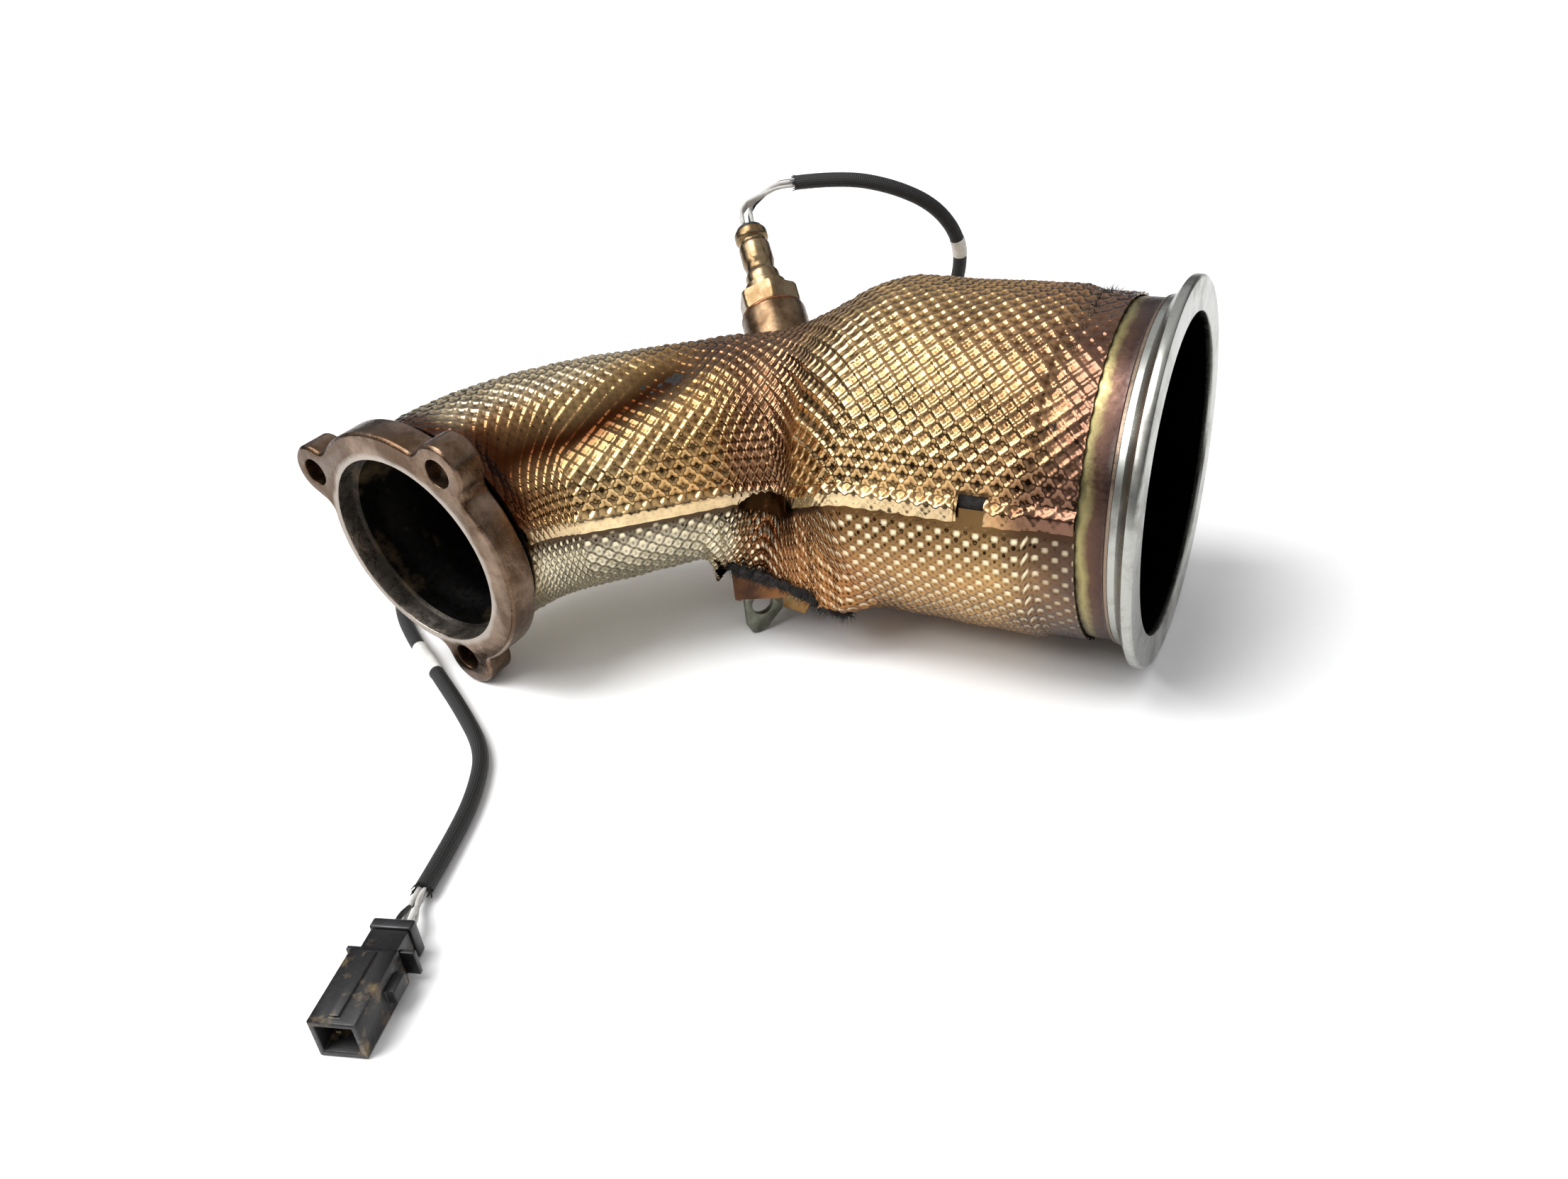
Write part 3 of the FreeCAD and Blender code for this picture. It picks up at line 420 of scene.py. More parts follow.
@dataclass
class GasPath:
    """The line that the gas follows, and the sizes round it, in mm from the inlet face."""

    bend_start: float = 118.0
    bend_radius: float = 82.0
    bend_turn: float = math.radians(38.4)
    straight: float = 55.0
    second_radius: float = 65.6
    second_turn: float = math.radians(44.7)
    outlet_straight: float = 18.0
    roll: float = math.radians(4.8)
    inlet: np.ndarray = field(init=False)
    foot: np.ndarray = field(init=False)

    def __post_init__(self) -> None:
        """Find the inlet's centre from the flange."""
        low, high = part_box("v_band_flange")
        self.inlet = np.array([high.x, (low.y + high.y) / 2, (low.z + high.z) / 2]) / MM
        self.foot = self.inlet * np.array([1, 1, 0])
        self.inward = np.array([-1.0, 0, 0])
        self.side = np.array([0, -math.cos(self.roll), -math.sin(self.roll)])
        self.up = np.cross(self.side, self.inward)
        self.up *= np.sign(self.up[2])
        self.first_end = self.bend_start + self.bend_radius * self.bend_turn
        self.second_start = self.first_end + self.straight
        self.second_end = self.second_start + self.second_radius * self.second_turn
        self.end = self.second_end + self.outlet_straight

    def heading(self, turn: float) -> np.ndarray:
        """The direction of the path once it has turned that far."""
        return self.inward * math.cos(turn) + self.side * math.sin(turn)

    def bend(self, start: np.ndarray, radius: float, turn_from: float,
             turn_to: float) -> np.ndarray:
        """Where a bend ends that starts at a point and turns from one heading to another."""
        along = radius * (math.sin(turn_to) - math.sin(turn_from))
        across = radius * (math.cos(turn_from) - math.cos(turn_to))
        return start + self.inward * along + self.side * across

    def station(self, reach: float) -> tuple[np.ndarray, np.ndarray]:
        """The path's point and direction.

        Args:
            reach: distance along the path from the inlet face, in mm.

        Returns:
            The point in mm, and the unit direction.
        """
        one = self.inlet + self.inward * self.bend_start
        if reach <= self.bend_start:
            return self.inlet + self.inward * reach, self.heading(0)
        if reach <= self.first_end:
            turn = (reach - self.bend_start) / self.bend_radius
            return self.bend(one, self.bend_radius, 0, turn), self.heading(turn)
        two = self.bend(one, self.bend_radius, 0, self.bend_turn)
        if reach <= self.second_start:
            ahead = self.heading(self.bend_turn)
            return two + ahead * (reach - self.first_end), ahead
        whole = self.bend_turn + self.second_turn
        three = two + self.heading(self.bend_turn) * self.straight
        if reach <= self.second_end:
            turn = self.bend_turn + (reach - self.second_start) / self.second_radius
            return self.bend(three, self.second_radius, self.bend_turn, turn), self.heading(turn)
        four = self.bend(three, self.second_radius, self.bend_turn, whole)
        return four + self.heading(whole) * (reach - self.second_end), self.heading(whole)

    def section(self, reach: float) -> tuple[np.ndarray, np.ndarray]:
        """The section's centre, and its unit vector towards the side the neck bends to."""
        point, direction = self.station(reach)
        side = np.cross(direction, self.up)
        return point, side * np.sign(side @ self.side)


PATH = GasPath()
SENSOR_REACH = 137.0  # the sensor's foot along the path, in mm
SENSOR_WAY = (-0.502, 0.577, 0.645)


# -------------------------------------------------------------------- finishes


@dataclass(frozen=True)
class Finish:
    """One real surface finish; its material is made once, under the finish's own name."""

    name: str

    def material(self) -> bpy.types.Material:
        """The finish's material.

        Returns:
            The material, made on the first call.
        """
        known = bpy.data.materials.get(self.name)
        if known:
            return known
        made = bpy.data.materials.new(self.name)
        made.use_nodes = True
        self.build(made.node_tree, made.node_tree.nodes["Principled BSDF"])
        return made

    def build(self, tree: Tree, shader: Node) -> None:
        """Set up the shader's nodes.

        Args:
            tree: the material's node tree.
            shader: its surface shader.
        """
        raise NotImplementedError

    def wear(self, tree: Tree, shader: Node, noise: Node,
             marks: Node, gloss: tuple[float, float], relief: tuple[float, float]) -> None:
        """Give the surface an uneven gloss and press marks into it.

        Args:
            tree: the material's node tree.
            shader: its surface shader.
            noise: the noise whose middle range carries the roughness.
            marks: the node that gives the marks' height.
            gloss: the lowest and highest roughness.
            relief: the marks' strength, and their depth in metres.
        """
        add(tree, "ShaderNodeMapRange",
            {"Value": noise, "From Min": 0.3, "From Max": 0.7, "To Min": gloss[0],
             "To Max": gloss[1]}, to=shader.inputs["Roughness"])
        add(tree, "ShaderNodeBump",
            {"Height": marks, "Strength": relief[0], "Distance": relief[1]},
            to=shader.inputs["Normal"])


def inlet_radius(tree: Tree, spot: Node) -> Node:
    """Distance from the can's axis, in metres.

    Args:
        tree: the material's node tree.
        spot: its texture coordinates.

    Returns:
        The node whose output holds the distance.
    """
    away = add(tree, "ShaderNodeVectorMath",
               {0: spot.outputs["Object"], 1: tuple(PATH.inlet * MM)}, operation="SUBTRACT")
    flat = add(tree, "ShaderNodeVectorMath", {0: away, 1: (0, 1, 1)}, operation="MULTIPLY")
    return add(tree, "ShaderNodeVectorMath", {0: flat}, operation="LENGTH")


@dataclass(frozen=True)
class TintedShield(Finish):
    """Embossed stainless foil, heat tinted: straw and gold where cooler, brown and purple
    where hotter, with painted shade in the groove, under the skirt and between the beads, a
    painted highlight on the groove's brow and the skirt's edge, and a painted tone in the
    dimple bottoms: shade on the upper shield, glints on the lower. The beads are the fine
    pattern on the dimples; their pitch is in metres."""

    along: Stops = ()
    painted_shade: str = "3a1d0c"
    pit_shade_and_glint: str = "3a1d0c"
    beads: float = 0.0031
    roughness: float = 0.18

    def build(self, tree: Tree, shader: Node) -> None:
        """Tint by the place along the shield and by noise, with a painted highlight, painted
        shade in the groove, under the skirt and between the beads, and a painted tone in the
        dimple bottoms.

        Args:
            tree: the material's node tree.
            shader: its surface shader.
        """
        spot = add(tree, "ShaderNodeTexCoord")
        reach, painted_highlight, groove_and_shade, relief = (
            add(tree, "ShaderNodeAttribute", attribute_name=name).outputs["Fac"]
            for name in ("reach", "painted_highlight", "groove_and_shade", "relief"))
        drift = add(tree, "ShaderNodeTexNoise",
                    {"Vector": spot.outputs["Object"], "Scale": 38.0, "Detail": 3.0,
                     "Roughness": 0.55})
        shift = add(tree, "ShaderNodeMath", {0: drift, 1: 0.16, 2: -0.08}, operation="MULTIPLY_ADD")
        where = add(tree, "ShaderNodeMath", {0: reach, 1: shift})
        tint = add(tree, "ShaderNodeValToRGB", {"Fac": where}, self.along)
        # Painted highlight: pale cream laid on the groove's brow and along the skirt's edge.
        pale = add(tree, "ShaderNodeMix",
                   {0: painted_highlight, 6: tint, 7: linear("f4e4bc")}, data_type="RGBA")
        patch = add(tree, "ShaderNodeTexNoise",
                    {"Vector": spot.outputs["Object"], "Scale": 95.0, "Detail": 4.0,
                     "Roughness": 0.6})
        spread = add(tree, "ShaderNodeMapRange",
                     {"Value": patch, "From Min": 0.3, "From Max": 0.72, "To Min": 0.66,
                      "To Max": 1.1})
        uneven = add(tree, "ShaderNodeVectorMath", {0: pale, 1: spread}, operation="MULTIPLY")
        # Painted shade: the groove and the strip under the upper shield's skirt are darkened.
        with_painted_shade = add(tree, "ShaderNodeMix",
                    {0: groove_and_shade, 6: uneven, 7: linear(self.painted_shade)},
                    data_type="RGBA")
        # Painted tone in the dimple bottoms: dark shade on the upper shield, bright glints on the
        # lower.
        low = add(tree, "ShaderNodeMapRange",
                  {"Value": relief, "From Min": -0.85, "From Max": -0.15,
                   "To Min": 0.8, "To Max": 0.0})
        painted_pits = add(tree, "ShaderNodeMix",
                     {0: low, 6: with_painted_shade, 7: linear(self.pit_shade_and_glint)}, data_type="RGBA")
        waves = []
        for name in ("along", "around"):
            run = add(tree, "ShaderNodeAttribute", attribute_name=name)
            turn = add(tree, "ShaderNodeMath",
                       {0: run.outputs["Fac"], 1: 2 * math.pi / self.beads}, operation="MULTIPLY")
            waves.append(add(tree, "ShaderNodeMath", {0: turn}, operation="COSINE"))
        beaded = add(tree, "ShaderNodeMath", {0: waves[0], 1: waves[1]}, operation="MULTIPLY")
        mask = add(tree, "ShaderNodeAttribute", attribute_name="emboss")
        beads = add(tree, "ShaderNodeMath",
                    {0: beaded, 1: mask.outputs["Fac"]}, operation="MULTIPLY")
        # Painted shade between the beads.
        between = add(tree, "ShaderNodeMapRange",
                      {"Value": beads, "From Min": -0.9, "From Max": -0.1, "To Min": 0.5,
                       "To Max": 0.0})
        add(tree, "ShaderNodeMix",
            {0: between, 6: painted_pits, 7: linear(self.painted_shade)}, data_type="RGBA",
            to=shader.inputs["Base Color"])
        shader.inputs["Metallic"].default_value = 1.0
        add(tree, "ShaderNodeMapRange",
            {"Value": patch, "From Min": 0.3, "From Max": 0.7, "To Min": self.roughness - 0.08,
             "To Max": self.roughness + 0.12}, to=shader.inputs["Roughness"])
        grain = add(tree, "ShaderNodeTexNoise",
                    {"Vector": spot.outputs["Object"], "Scale": 900.0, "Detail": 2.0})
        rough = add(tree, "ShaderNodeBump", {"Height": grain, "Strength": 0.25, "Distance": 0.0002})
        add(tree, "ShaderNodeBump",
            {"Height": beads, "Strength": 0.6, "Distance": 0.00022, "Normal": rough},
            to=shader.inputs["Normal"])


@dataclass(frozen=True)
class HeatedSteel(Finish):
    """Bare stainless after heat: steel that runs from straw to brown and violet in bands
    across it, with a fine grain. Places along the axis and the grain's depth are in metres."""

    along: Stops = ()
    axis: str = "X"
    start: float = 0.0
    length: float = 0.02
    roughness: float = 0.33
    grain: float = 600.0
    depth: float = 0.00015
    metallic: float = 1.0
    blackened_within: float = 0.0

    def build(self, tree: Tree, shader: Node) -> None:
        """Colour bands along one axis, broken up by noise; black inside a radius in mm.

        Args:
            tree: the material's node tree.
            shader: its surface shader.
        """
        spot = add(tree, "ShaderNodeTexCoord")
        parts = add(tree, "ShaderNodeSeparateXYZ", {0: spot.outputs["Object"]})
        drift = add(tree, "ShaderNodeTexNoise",
                    {"Vector": spot.outputs["Object"], "Scale": 45.0, "Detail": 4.0,
                     "Roughness": 0.6})
        band = add(tree, "ShaderNodeMapRange",
                   {"Value": parts.outputs[self.axis], "From Min": self.start,
                    "From Max": self.start + self.length})
        mixed = add(tree, "ShaderNodeMath", {0: drift, 1: 0.5, 2: band}, operation="MULTIPLY_ADD")
        centred = add(tree, "ShaderNodeMath", {0: mixed, 1: 0.25}, operation="SUBTRACT")
        tint = add(tree, "ShaderNodeValToRGB", {"Fac": centred}, self.along)
        # Black inside the radius.
        inside = add(tree, "ShaderNodeMath",
                     {0: inlet_radius(tree, spot), 1: self.blackened_within * MM},
                     operation="LESS_THAN")
        add(tree, "ShaderNodeMix",
            {0: inside, 6: tint, 7: linear("080706")}, data_type="RGBA",
            to=shader.inputs["Base Color"])
        shader.inputs["Metallic"].default_value = self.metallic
        fine = add(tree, "ShaderNodeTexNoise",
                   {"Vector": spot.outputs["Object"], "Scale": self.grain, "Detail": 5.0})
        self.wear(tree, shader, fine, fine, (self.roughness - 0.07, self.roughness + 0.12),
                  (0.4, self.depth))


@dataclass(frozen=True)
class TurnedSteel(Finish):
    """Machined flange steel: fine turning rings round the can's axis, dulled by handling."""

    colour: str = "a9aaa4"
    stain: str = "5c554c"
    pitch: float = 0.9
    roughness: float = 0.24

    def build(self, tree: Tree, shader: Node) -> None:
        """Rings of tool marks pressed in, with brown stains and an uneven gloss.

        Args:
            tree: the material's node tree.
            shader: its surface shader.
        """
        spot = add(tree, "ShaderNodeTexCoord")
        turns = add(tree, "ShaderNodeMath",
                    {0: inlet_radius(tree, spot), 1: 2 * math.pi / (self.pitch * MM)},
                    operation="MULTIPLY")
        marks = add(tree, "ShaderNodeMath", {0: turns}, operation="SINE")
        blot = add(tree, "ShaderNodeTexNoise",
                   {"Vector": spot.outputs["Object"], "Scale": 60.0, "Detail": 6.0,
                    "Roughness": 0.65})
        amount = add(tree, "ShaderNodeMapRange",
                     {"Value": blot, "From Min": 0.48, "From Max": 0.72, "To Min": 0.0,
                      "To Max": 0.85})
        add(tree, "ShaderNodeMix",
            {0: amount, 6: linear(self.colour), 7: linear(self.stain)}, data_type="RGBA",
            to=shader.inputs["Base Color"])
        shader.inputs["Metallic"].default_value = 1.0
        self.wear(tree, shader, blot, marks, (self.roughness - 0.06, self.roughness + 0.14),
                  (0.35, 0.00006))


@dataclass(frozen=True)
class Mottled(Finish):
    """A surface of two colours broken up by noise: soot, oxide, felt, cloth, rubber or plastic."""

    colour: str = "808080"
    other: str = "404040"
    scale: float = 80.0
    metallic: float = 0.0
    roughness: float = 0.6
    bump: float = 0.3
    depth: float = 0.0003
    grain: float = 400.0
    edge: float = 0.5

    def build(self, tree: Tree, shader: Node) -> None:
        """Two colours, with the finer noise in gloss and bump.

        Args:
            tree: the material's node tree.
            shader: its surface shader.
        """
        spot = add(tree, "ShaderNodeTexCoord")
        broad = add(tree, "ShaderNodeTexNoise",
                    {"Vector": spot.outputs["Object"], "Scale": self.scale, "Detail": 6.0,
                     "Roughness": 0.65})
        amount = add(tree, "ShaderNodeMapRange",
                     {"Value": broad, "From Min": self.edge - 0.12, "From Max": self.edge + 0.12})
        add(tree, "ShaderNodeMix",
            {0: amount, 6: linear(self.colour), 7: linear(self.other)}, data_type="RGBA",
            to=shader.inputs["Base Color"])
        shader.inputs["Metallic"].default_value = self.metallic
        fine = add(tree, "ShaderNodeTexNoise",
                   {"Vector": spot.outputs["Object"], "Scale": self.grain, "Detail": 5.0,
                    "Roughness": 0.6})
        self.wear(tree, shader, fine, fine,
                  (self.roughness - 0.08, min(1.0, self.roughness + 0.12)),
                  (self.bump, self.depth))


@dataclass(frozen=True)
class Braid(Finish):
    """Braided sleeve: black yarns crossing at 45 degrees, with a painted sheen on each yarn's
    crown.
    """

    colour: str = "040404"
    # high: a painted sheen on the yarns' crowns.
    high: str = "10100f"
    yarn: float = 1.1

    def build(self, tree: Tree, shader: Node) -> None:
        """Two sets of crossing yarns from the distances along and round the sleeve.

        Args:
            tree: the material's node tree.
            shader: its surface shader.
        """
        along = add(tree, "ShaderNodeAttribute", attribute_name="along")
        around = add(tree, "ShaderNodeAttribute", attribute_name="around")
        waves = []
        for sign in (1.0, -1.0):
            turned = add(tree, "ShaderNodeMath",
                         {0: around.outputs["Fac"], 1: sign, 2: along.outputs["Fac"]},
                         operation="MULTIPLY_ADD")
            # at 45 degrees a yarn takes up 1.4 times its width along the sleeve
            wave = add(tree, "ShaderNodeMath",
                       {0: turned, 1: 2 * math.pi / (self.yarn * 1.4 * MM)}, operation="MULTIPLY")
            waves.append(add(tree, "ShaderNodeMath", {0: wave}, operation="SINE"))
        weave = add(tree, "ShaderNodeMath", {0: waves[0], 1: waves[1]}, operation="MULTIPLY")
        height = add(tree, "ShaderNodeMapRange",
                     {"Value": weave, "From Min": -1.0, "From Max": 1.0})
        # Painted sheen: the yarns' crowns are lighter.
        add(tree, "ShaderNodeMix",
            {0: height, 6: linear(self.colour), 7: linear(self.high)}, data_type="RGBA",
            to=shader.inputs["Base Color"])
        shader.inputs["Roughness"].default_value = 0.62
        add(tree, "ShaderNodeBump",
            {"Height": height, "Strength": 0.7, "Distance": 0.0003}, to=shader.inputs["Normal"])


@dataclass(frozen=True)
class CastFlange(Mottled):
    """Cast iron brown with oxide, and a paler turned ring round the bore; sizes in mm."""

    ring: str = "a79f95"
    ring_edge: tuple[float, float] = (40.2, 41.8)
    ring_wander: float = 4.0

    def build(self, tree: Tree, shader: Node) -> None:
        """The oxide of Mottled, with the turned ring laid over it by distance from the axis.

        Args:
            tree: the material's node tree.
            shader: its surface shader.
        """
        super().build(tree, shader)
        centre, axis = PATH.station(PATH.end)
        spot = add(tree, "ShaderNodeTexCoord")
        away = add(tree, "ShaderNodeVectorMath",
                   {0: spot.outputs["Object"], 1: tuple(centre * MM)}, operation="SUBTRACT")
        across = add(tree, "ShaderNodeVectorMath",
                     {0: away, 1: tuple(axis)}, operation="CROSS_PRODUCT")
        radius = add(tree, "ShaderNodeVectorMath", {0: across}, operation="LENGTH")
        wander = add(tree, "ShaderNodeTexNoise",
                     {"Vector": spot.outputs["Object"], "Scale": 90.0, "Detail": 4.0})
        edge = add(tree, "ShaderNodeMath",
                   {0: wander, 1: self.ring_wander * MM, 2: radius}, operation="MULTIPLY_ADD")
        share = add(tree, "ShaderNodeMapRange",
                    {"Value": edge, "From Min": self.ring_edge[0] * MM,
                     "From Max": self.ring_edge[1] * MM, "To Min": 0.75, "To Max": 0.0})
        under = shader.inputs["Base Color"].links[0].from_socket
        add(tree, "ShaderNodeMix",
            {0: share, 6: under, 7: linear(self.ring)}, data_type="RGBA",
            to=shader.inputs["Base Color"])


# Thin stainless foil, embossed and heat tinted: gold glints on every dimple, painted brown
# shade in the dimple bottoms and the groove, and a painted highlight on the groove's brow.
UPPER_SHIELD = TintedShield("embossed_stainless_upper", along=(
    (0.0, "7a5a4a"), (1.0, "4a2a1a"), (0.04, "8b6850"), (0.09, "c3986a"), (0.24, "dcb47a"),
    (0.36, "d9b480"), (0.44, "a5805f"), (0.54, "8d6a4e"), (0.62, "cda269"), (0.76, "dfbb82"),
    (0.90, "c09464"), (0.95, "6b452c")))
# The same foil, cooler along the neck: pale cream there, painted bright glints in the dimple
# bottoms on brown round the can, and a painted shadow under the upper shield's skirt.
LOWER_SHIELD = TintedShield("embossed_stainless_lower", along=(
    (0.0, "5e4c44"), (1.0, "93805c"), (0.045, "7a5f48"), (0.10, "b8925f"), (0.26, "a87f50"),
    (0.36, "a97244"), (0.45, "6b3f24"), (0.53, "96704c"), (0.60, "d9cfb2"), (0.92, "ddd3b8")),
    painted_shade="33200f", pit_shade_and_glint="fbedc8")
# Turned steel: bright, with fine rings that stretch its reflections round the rim.
FLANGE_STEEL = TurnedSteel("turned_flange_steel")
# Bare heated steel: a straw band at the shield's edge that turns to purple brown.
INLET_STEEL = HeatedSteel("heat_tinted_inlet_ring", start=0.118, length=0.018, blackened_within=56.9,
                          along=((0.0, "4b4034"), (1.0, "6a625c"), (0.40, "5d5540"),
                                 (0.52, "9a8f62"), (0.66, "5c463a"), (0.85, "4c3a36")))
# Stainless coated with soot: dark, with a dusty brown bloom where the soot is thin.
SOOTED_BORE = Mottled("soot_streaked_bore", "0c0a09", "8a7556", 30, 0.6, 0.34, 0.3, 0.0003,
                      400, 0.58)
# Stainless inside the can and cone: nearly black, with a faint sheen.
INNER_STEEL = Mottled("sooted_stainless", "0c0a09", "3a2f24", 60, 0.9, 0.36, 0.3, 0.0003, 400, 0.62)
# TIG weld bead: rippled grey brown that breaks up the light.
WELD = HeatedSteel("tig_weld", start=0.0, length=0.2, grain=350.0, depth=0.0004, along=(
    (0.0, "6d5a50"), (1.0, "7f6a58"), (0.5, "8a7a6c")))
# Cast iron with brown oxide, worn on its edges: lumpy satin, paler round the bore.
CAST_FACE = CastFlange("cast_flange_oxide", "54402f", "947e6c", 42, 0.95, 0.26, 0.5, 0.0006,
                       230, 0.56)
# Charred fibre felt: black, without shine.
FELT = Mottled("charred_fibre_felt", "14110f", "2b2826", 500, 0.0, 0.92, 0.9, 0.0008, 700)
# Sooted ceramic: matte black, seen only deep in the mouths.
CERAMIC = Mottled("sooted_ceramic", "0d0b0a", "1a1613", 120, 0.0, 0.9, 0.5)
# Pressed sheet under a film of rust: orange brown, half matte.
RUSTED = Mottled("rust_filmed_sheet", "8a5a30", "4b2c18", 70, 0.6, 0.42, 0.4, 0.0003, 420)
# Pressed steel sheet gone dull: greenish grey satin.
GREY_SHEET = Mottled("dulled_sheet", "8c8f80", "5d5e52", 60, 0.85, 0.38, 0.35, 0.0002, 500)
# Heat-tinted sheet: pale straw that shades into brown.
CREAM_SHEET = Mottled("straw_tinted_sheet", "dcc08a", "c08a4e", 45, 0.7, 0.36, 0.3, 0.0002, 420)
# Plated sensor shell, olive brown from heat: smooth with soft highlights.
SENSOR_METAL = Mottled("olive_plated_steel", "917f63", "6f5a3f", 90, 1.0, 0.27, 0.3, 0.0002, 600)
# Machined boss browned by heat: a dull bronze.
BOSS = Mottled("browned_boss", "7d6850", "54402e", 90, 1.0, 0.3, 0.3, 0.0002, 500)
# Oxidised copper washer: a thin dull red line.
COPPER = Mottled("oxidised_washer", "8a5a3c", "4a3426", 150, 0.9, 0.4)
# Grommet rubber: soft black, with hardly a glint.
RUBBER = Mottled("sensor_grommet_rubber", "1a1918", "0e0d0d", 300, 0.0, 0.6)
# Braided fibre sleeve, black: a fine crosswise weave, matte, with a faint painted sheen on the
# yarns.
SLEEVE = Braid("braided_sleeve")
# Woven cloth tape: off-white and matte.
TAPE = Mottled("pale_cloth_tape", "e9e8e4", "cfcdc6", 220, 0.0, 0.6, 0.4, 0.0002, 900)
# Pale wire insulation: light grey satin.
WIRES = Mottled("pale_wire_insulation", "c9c8c4", "a9a7a1", 120, 0.0, 0.4)
# The same insulation in black.
DARK_WIRE = Mottled("black_wire_insulation", "0b0b0c", "19191a", 120, 0.0, 0.4)
# Glass-filled nylon with dried dust: satin black, tan in spots.
PLUG_DIRT = Mottled("dusty_nylon", "0c0b0d", "8a7450", 120, 0.0, 0.42, 0.35, 0.0001, 800, 0.67)
# Clean glass-filled nylon: satin black.
PLUG = Mottled("glass_filled_nylon", "0c0c0e", "161518", 200, 0.0, 0.36, 0.25, 0.0001, 900)
# Tin-plated contacts: small pale glints in the socket.
CONTACTS = Mottled("tinned_contacts", "b8ab85", "8f8362", 200, 1.0, 0.3)


# ---------------------------------------------------------------- heat shields


class Half(Enum):
    """Which half of the pair of shields."""

    UPPER = "upper"
    LOWER = "lower"


def new_tree(name: str, **sockets: str) -> tuple[Tree, Node]:
    """Start a geometry tree.

    Args:
        name: the tree's name.
        sockets: its inputs, by name and kind.

    Returns:
        The tree and its input node.
    """
    tree = bpy.data.node_groups.new(name, "GeometryNodeTree")
    for label, kind in sockets.items():
        tree.interface.new_socket(label, in_out="INPUT", socket_type="NodeSocket" + kind)
    tree.interface.new_socket("Geometry", in_out="OUTPUT", socket_type="NodeSocketGeometry")
    return tree, add(tree, "NodeGroupInput")


def end_tree(tree: Tree, shape: Node, finish: Socket) -> None:
    """End a geometry tree with real geometry in one material."""
    real = add(tree, "GeometryNodeRealizeInstances", {"Geometry": shape})
    coated = add(tree, "GeometryNodeSetMaterial", {"Geometry": real, "Material": finish})
    add(tree, "NodeGroupOutput", {"Geometry": coated})


def run_tree(obj: Piece, tree: Tree, smooth: float = 50.0, **values: object) -> None:
    """Run a geometry tree on a piece and keep the result as plain mesh.

    Args:
        obj: the piece.
        tree: the tree.
        smooth: the angle over which edges stay crisp, in degrees.
        values: the tree's inputs, by name.
    """
    modifier = obj.modifiers.new(tree.name, "NODES")
    modifier.node_group = tree
    for item in tree.interface.items_tree:
        if item.item_type == "SOCKET" and item.in_out == "INPUT" and item.name in values:
            modifier[item.identifier] = values[item.name]
    settle(obj, smooth)


def embossed_sheet() -> Tree:
    """The tree that presses staggered dimples and soft creases into a sheet.

    Returns:
        The geometry node tree.
    """
    tree, given = new_tree("embossed_sheet", Sheet="Geometry", Pitch="Float", Depth="Float",
                           Crease="Float", Finish="Material")
    waves = []
    for name in ("along", "around"):
        spot = add(tree, "GeometryNodeInputNamedAttribute", {"Name": name})
        turn = add(tree, "ShaderNodeMath", {0: spot, 1: 2 * math.pi}, operation="MULTIPLY")
        phase = add(tree, "ShaderNodeMath",
                    {0: turn, 1: given.outputs["Pitch"]}, operation="DIVIDE")
        waves.append(add(tree, "ShaderNodeMath", {0: phase}, operation="COSINE"))
    crate = add(tree, "ShaderNodeMath", {0: waves[0], 1: waves[1]}, operation="MULTIPLY")
    mask = add(tree, "GeometryNodeInputNamedAttribute", {"Name": "emboss"})
    relief = add(tree, "ShaderNodeMath", {0: crate, 1: mask}, operation="MULTIPLY")
    height = add(tree, "ShaderNodeMath",
                 {0: relief, 1: given.outputs["Depth"]}, operation="MULTIPLY")
    noise = add(tree, "ShaderNodeTexNoise", {"Scale": 75.0, "Detail": 1.0})
    swing = add(tree, "ShaderNodeMath", {0: noise, 1: 0.5}, operation="SUBTRACT")
    crease = add(tree, "ShaderNodeMath",
                 {0: swing, 1: given.outputs["Crease"]}, operation="MULTIPLY")
    loose = add(tree, "GeometryNodeInputNamedAttribute", {"Name": "loose"})
    wave = add(tree, "ShaderNodeMath", {0: crease, 1: loose, 2: height}, operation="MULTIPLY_ADD")
    normal = add(tree, "GeometryNodeInputNormal")
    push = add(tree, "ShaderNodeVectorMath", {0: normal, "Scale": wave}, operation="SCALE")
    kept = add(tree, "GeometryNodeStoreNamedAttribute",
               {"Geometry": given.outputs["Sheet"], "Name": "relief", "Value": relief},
               data_type="FLOAT", domain="POINT")
    moved = add(tree, "GeometryNodeSetPosition", {"Geometry": kept, "Offset": push})
    end_tree(tree, moved, given.outputs["Finish"])
    return tree


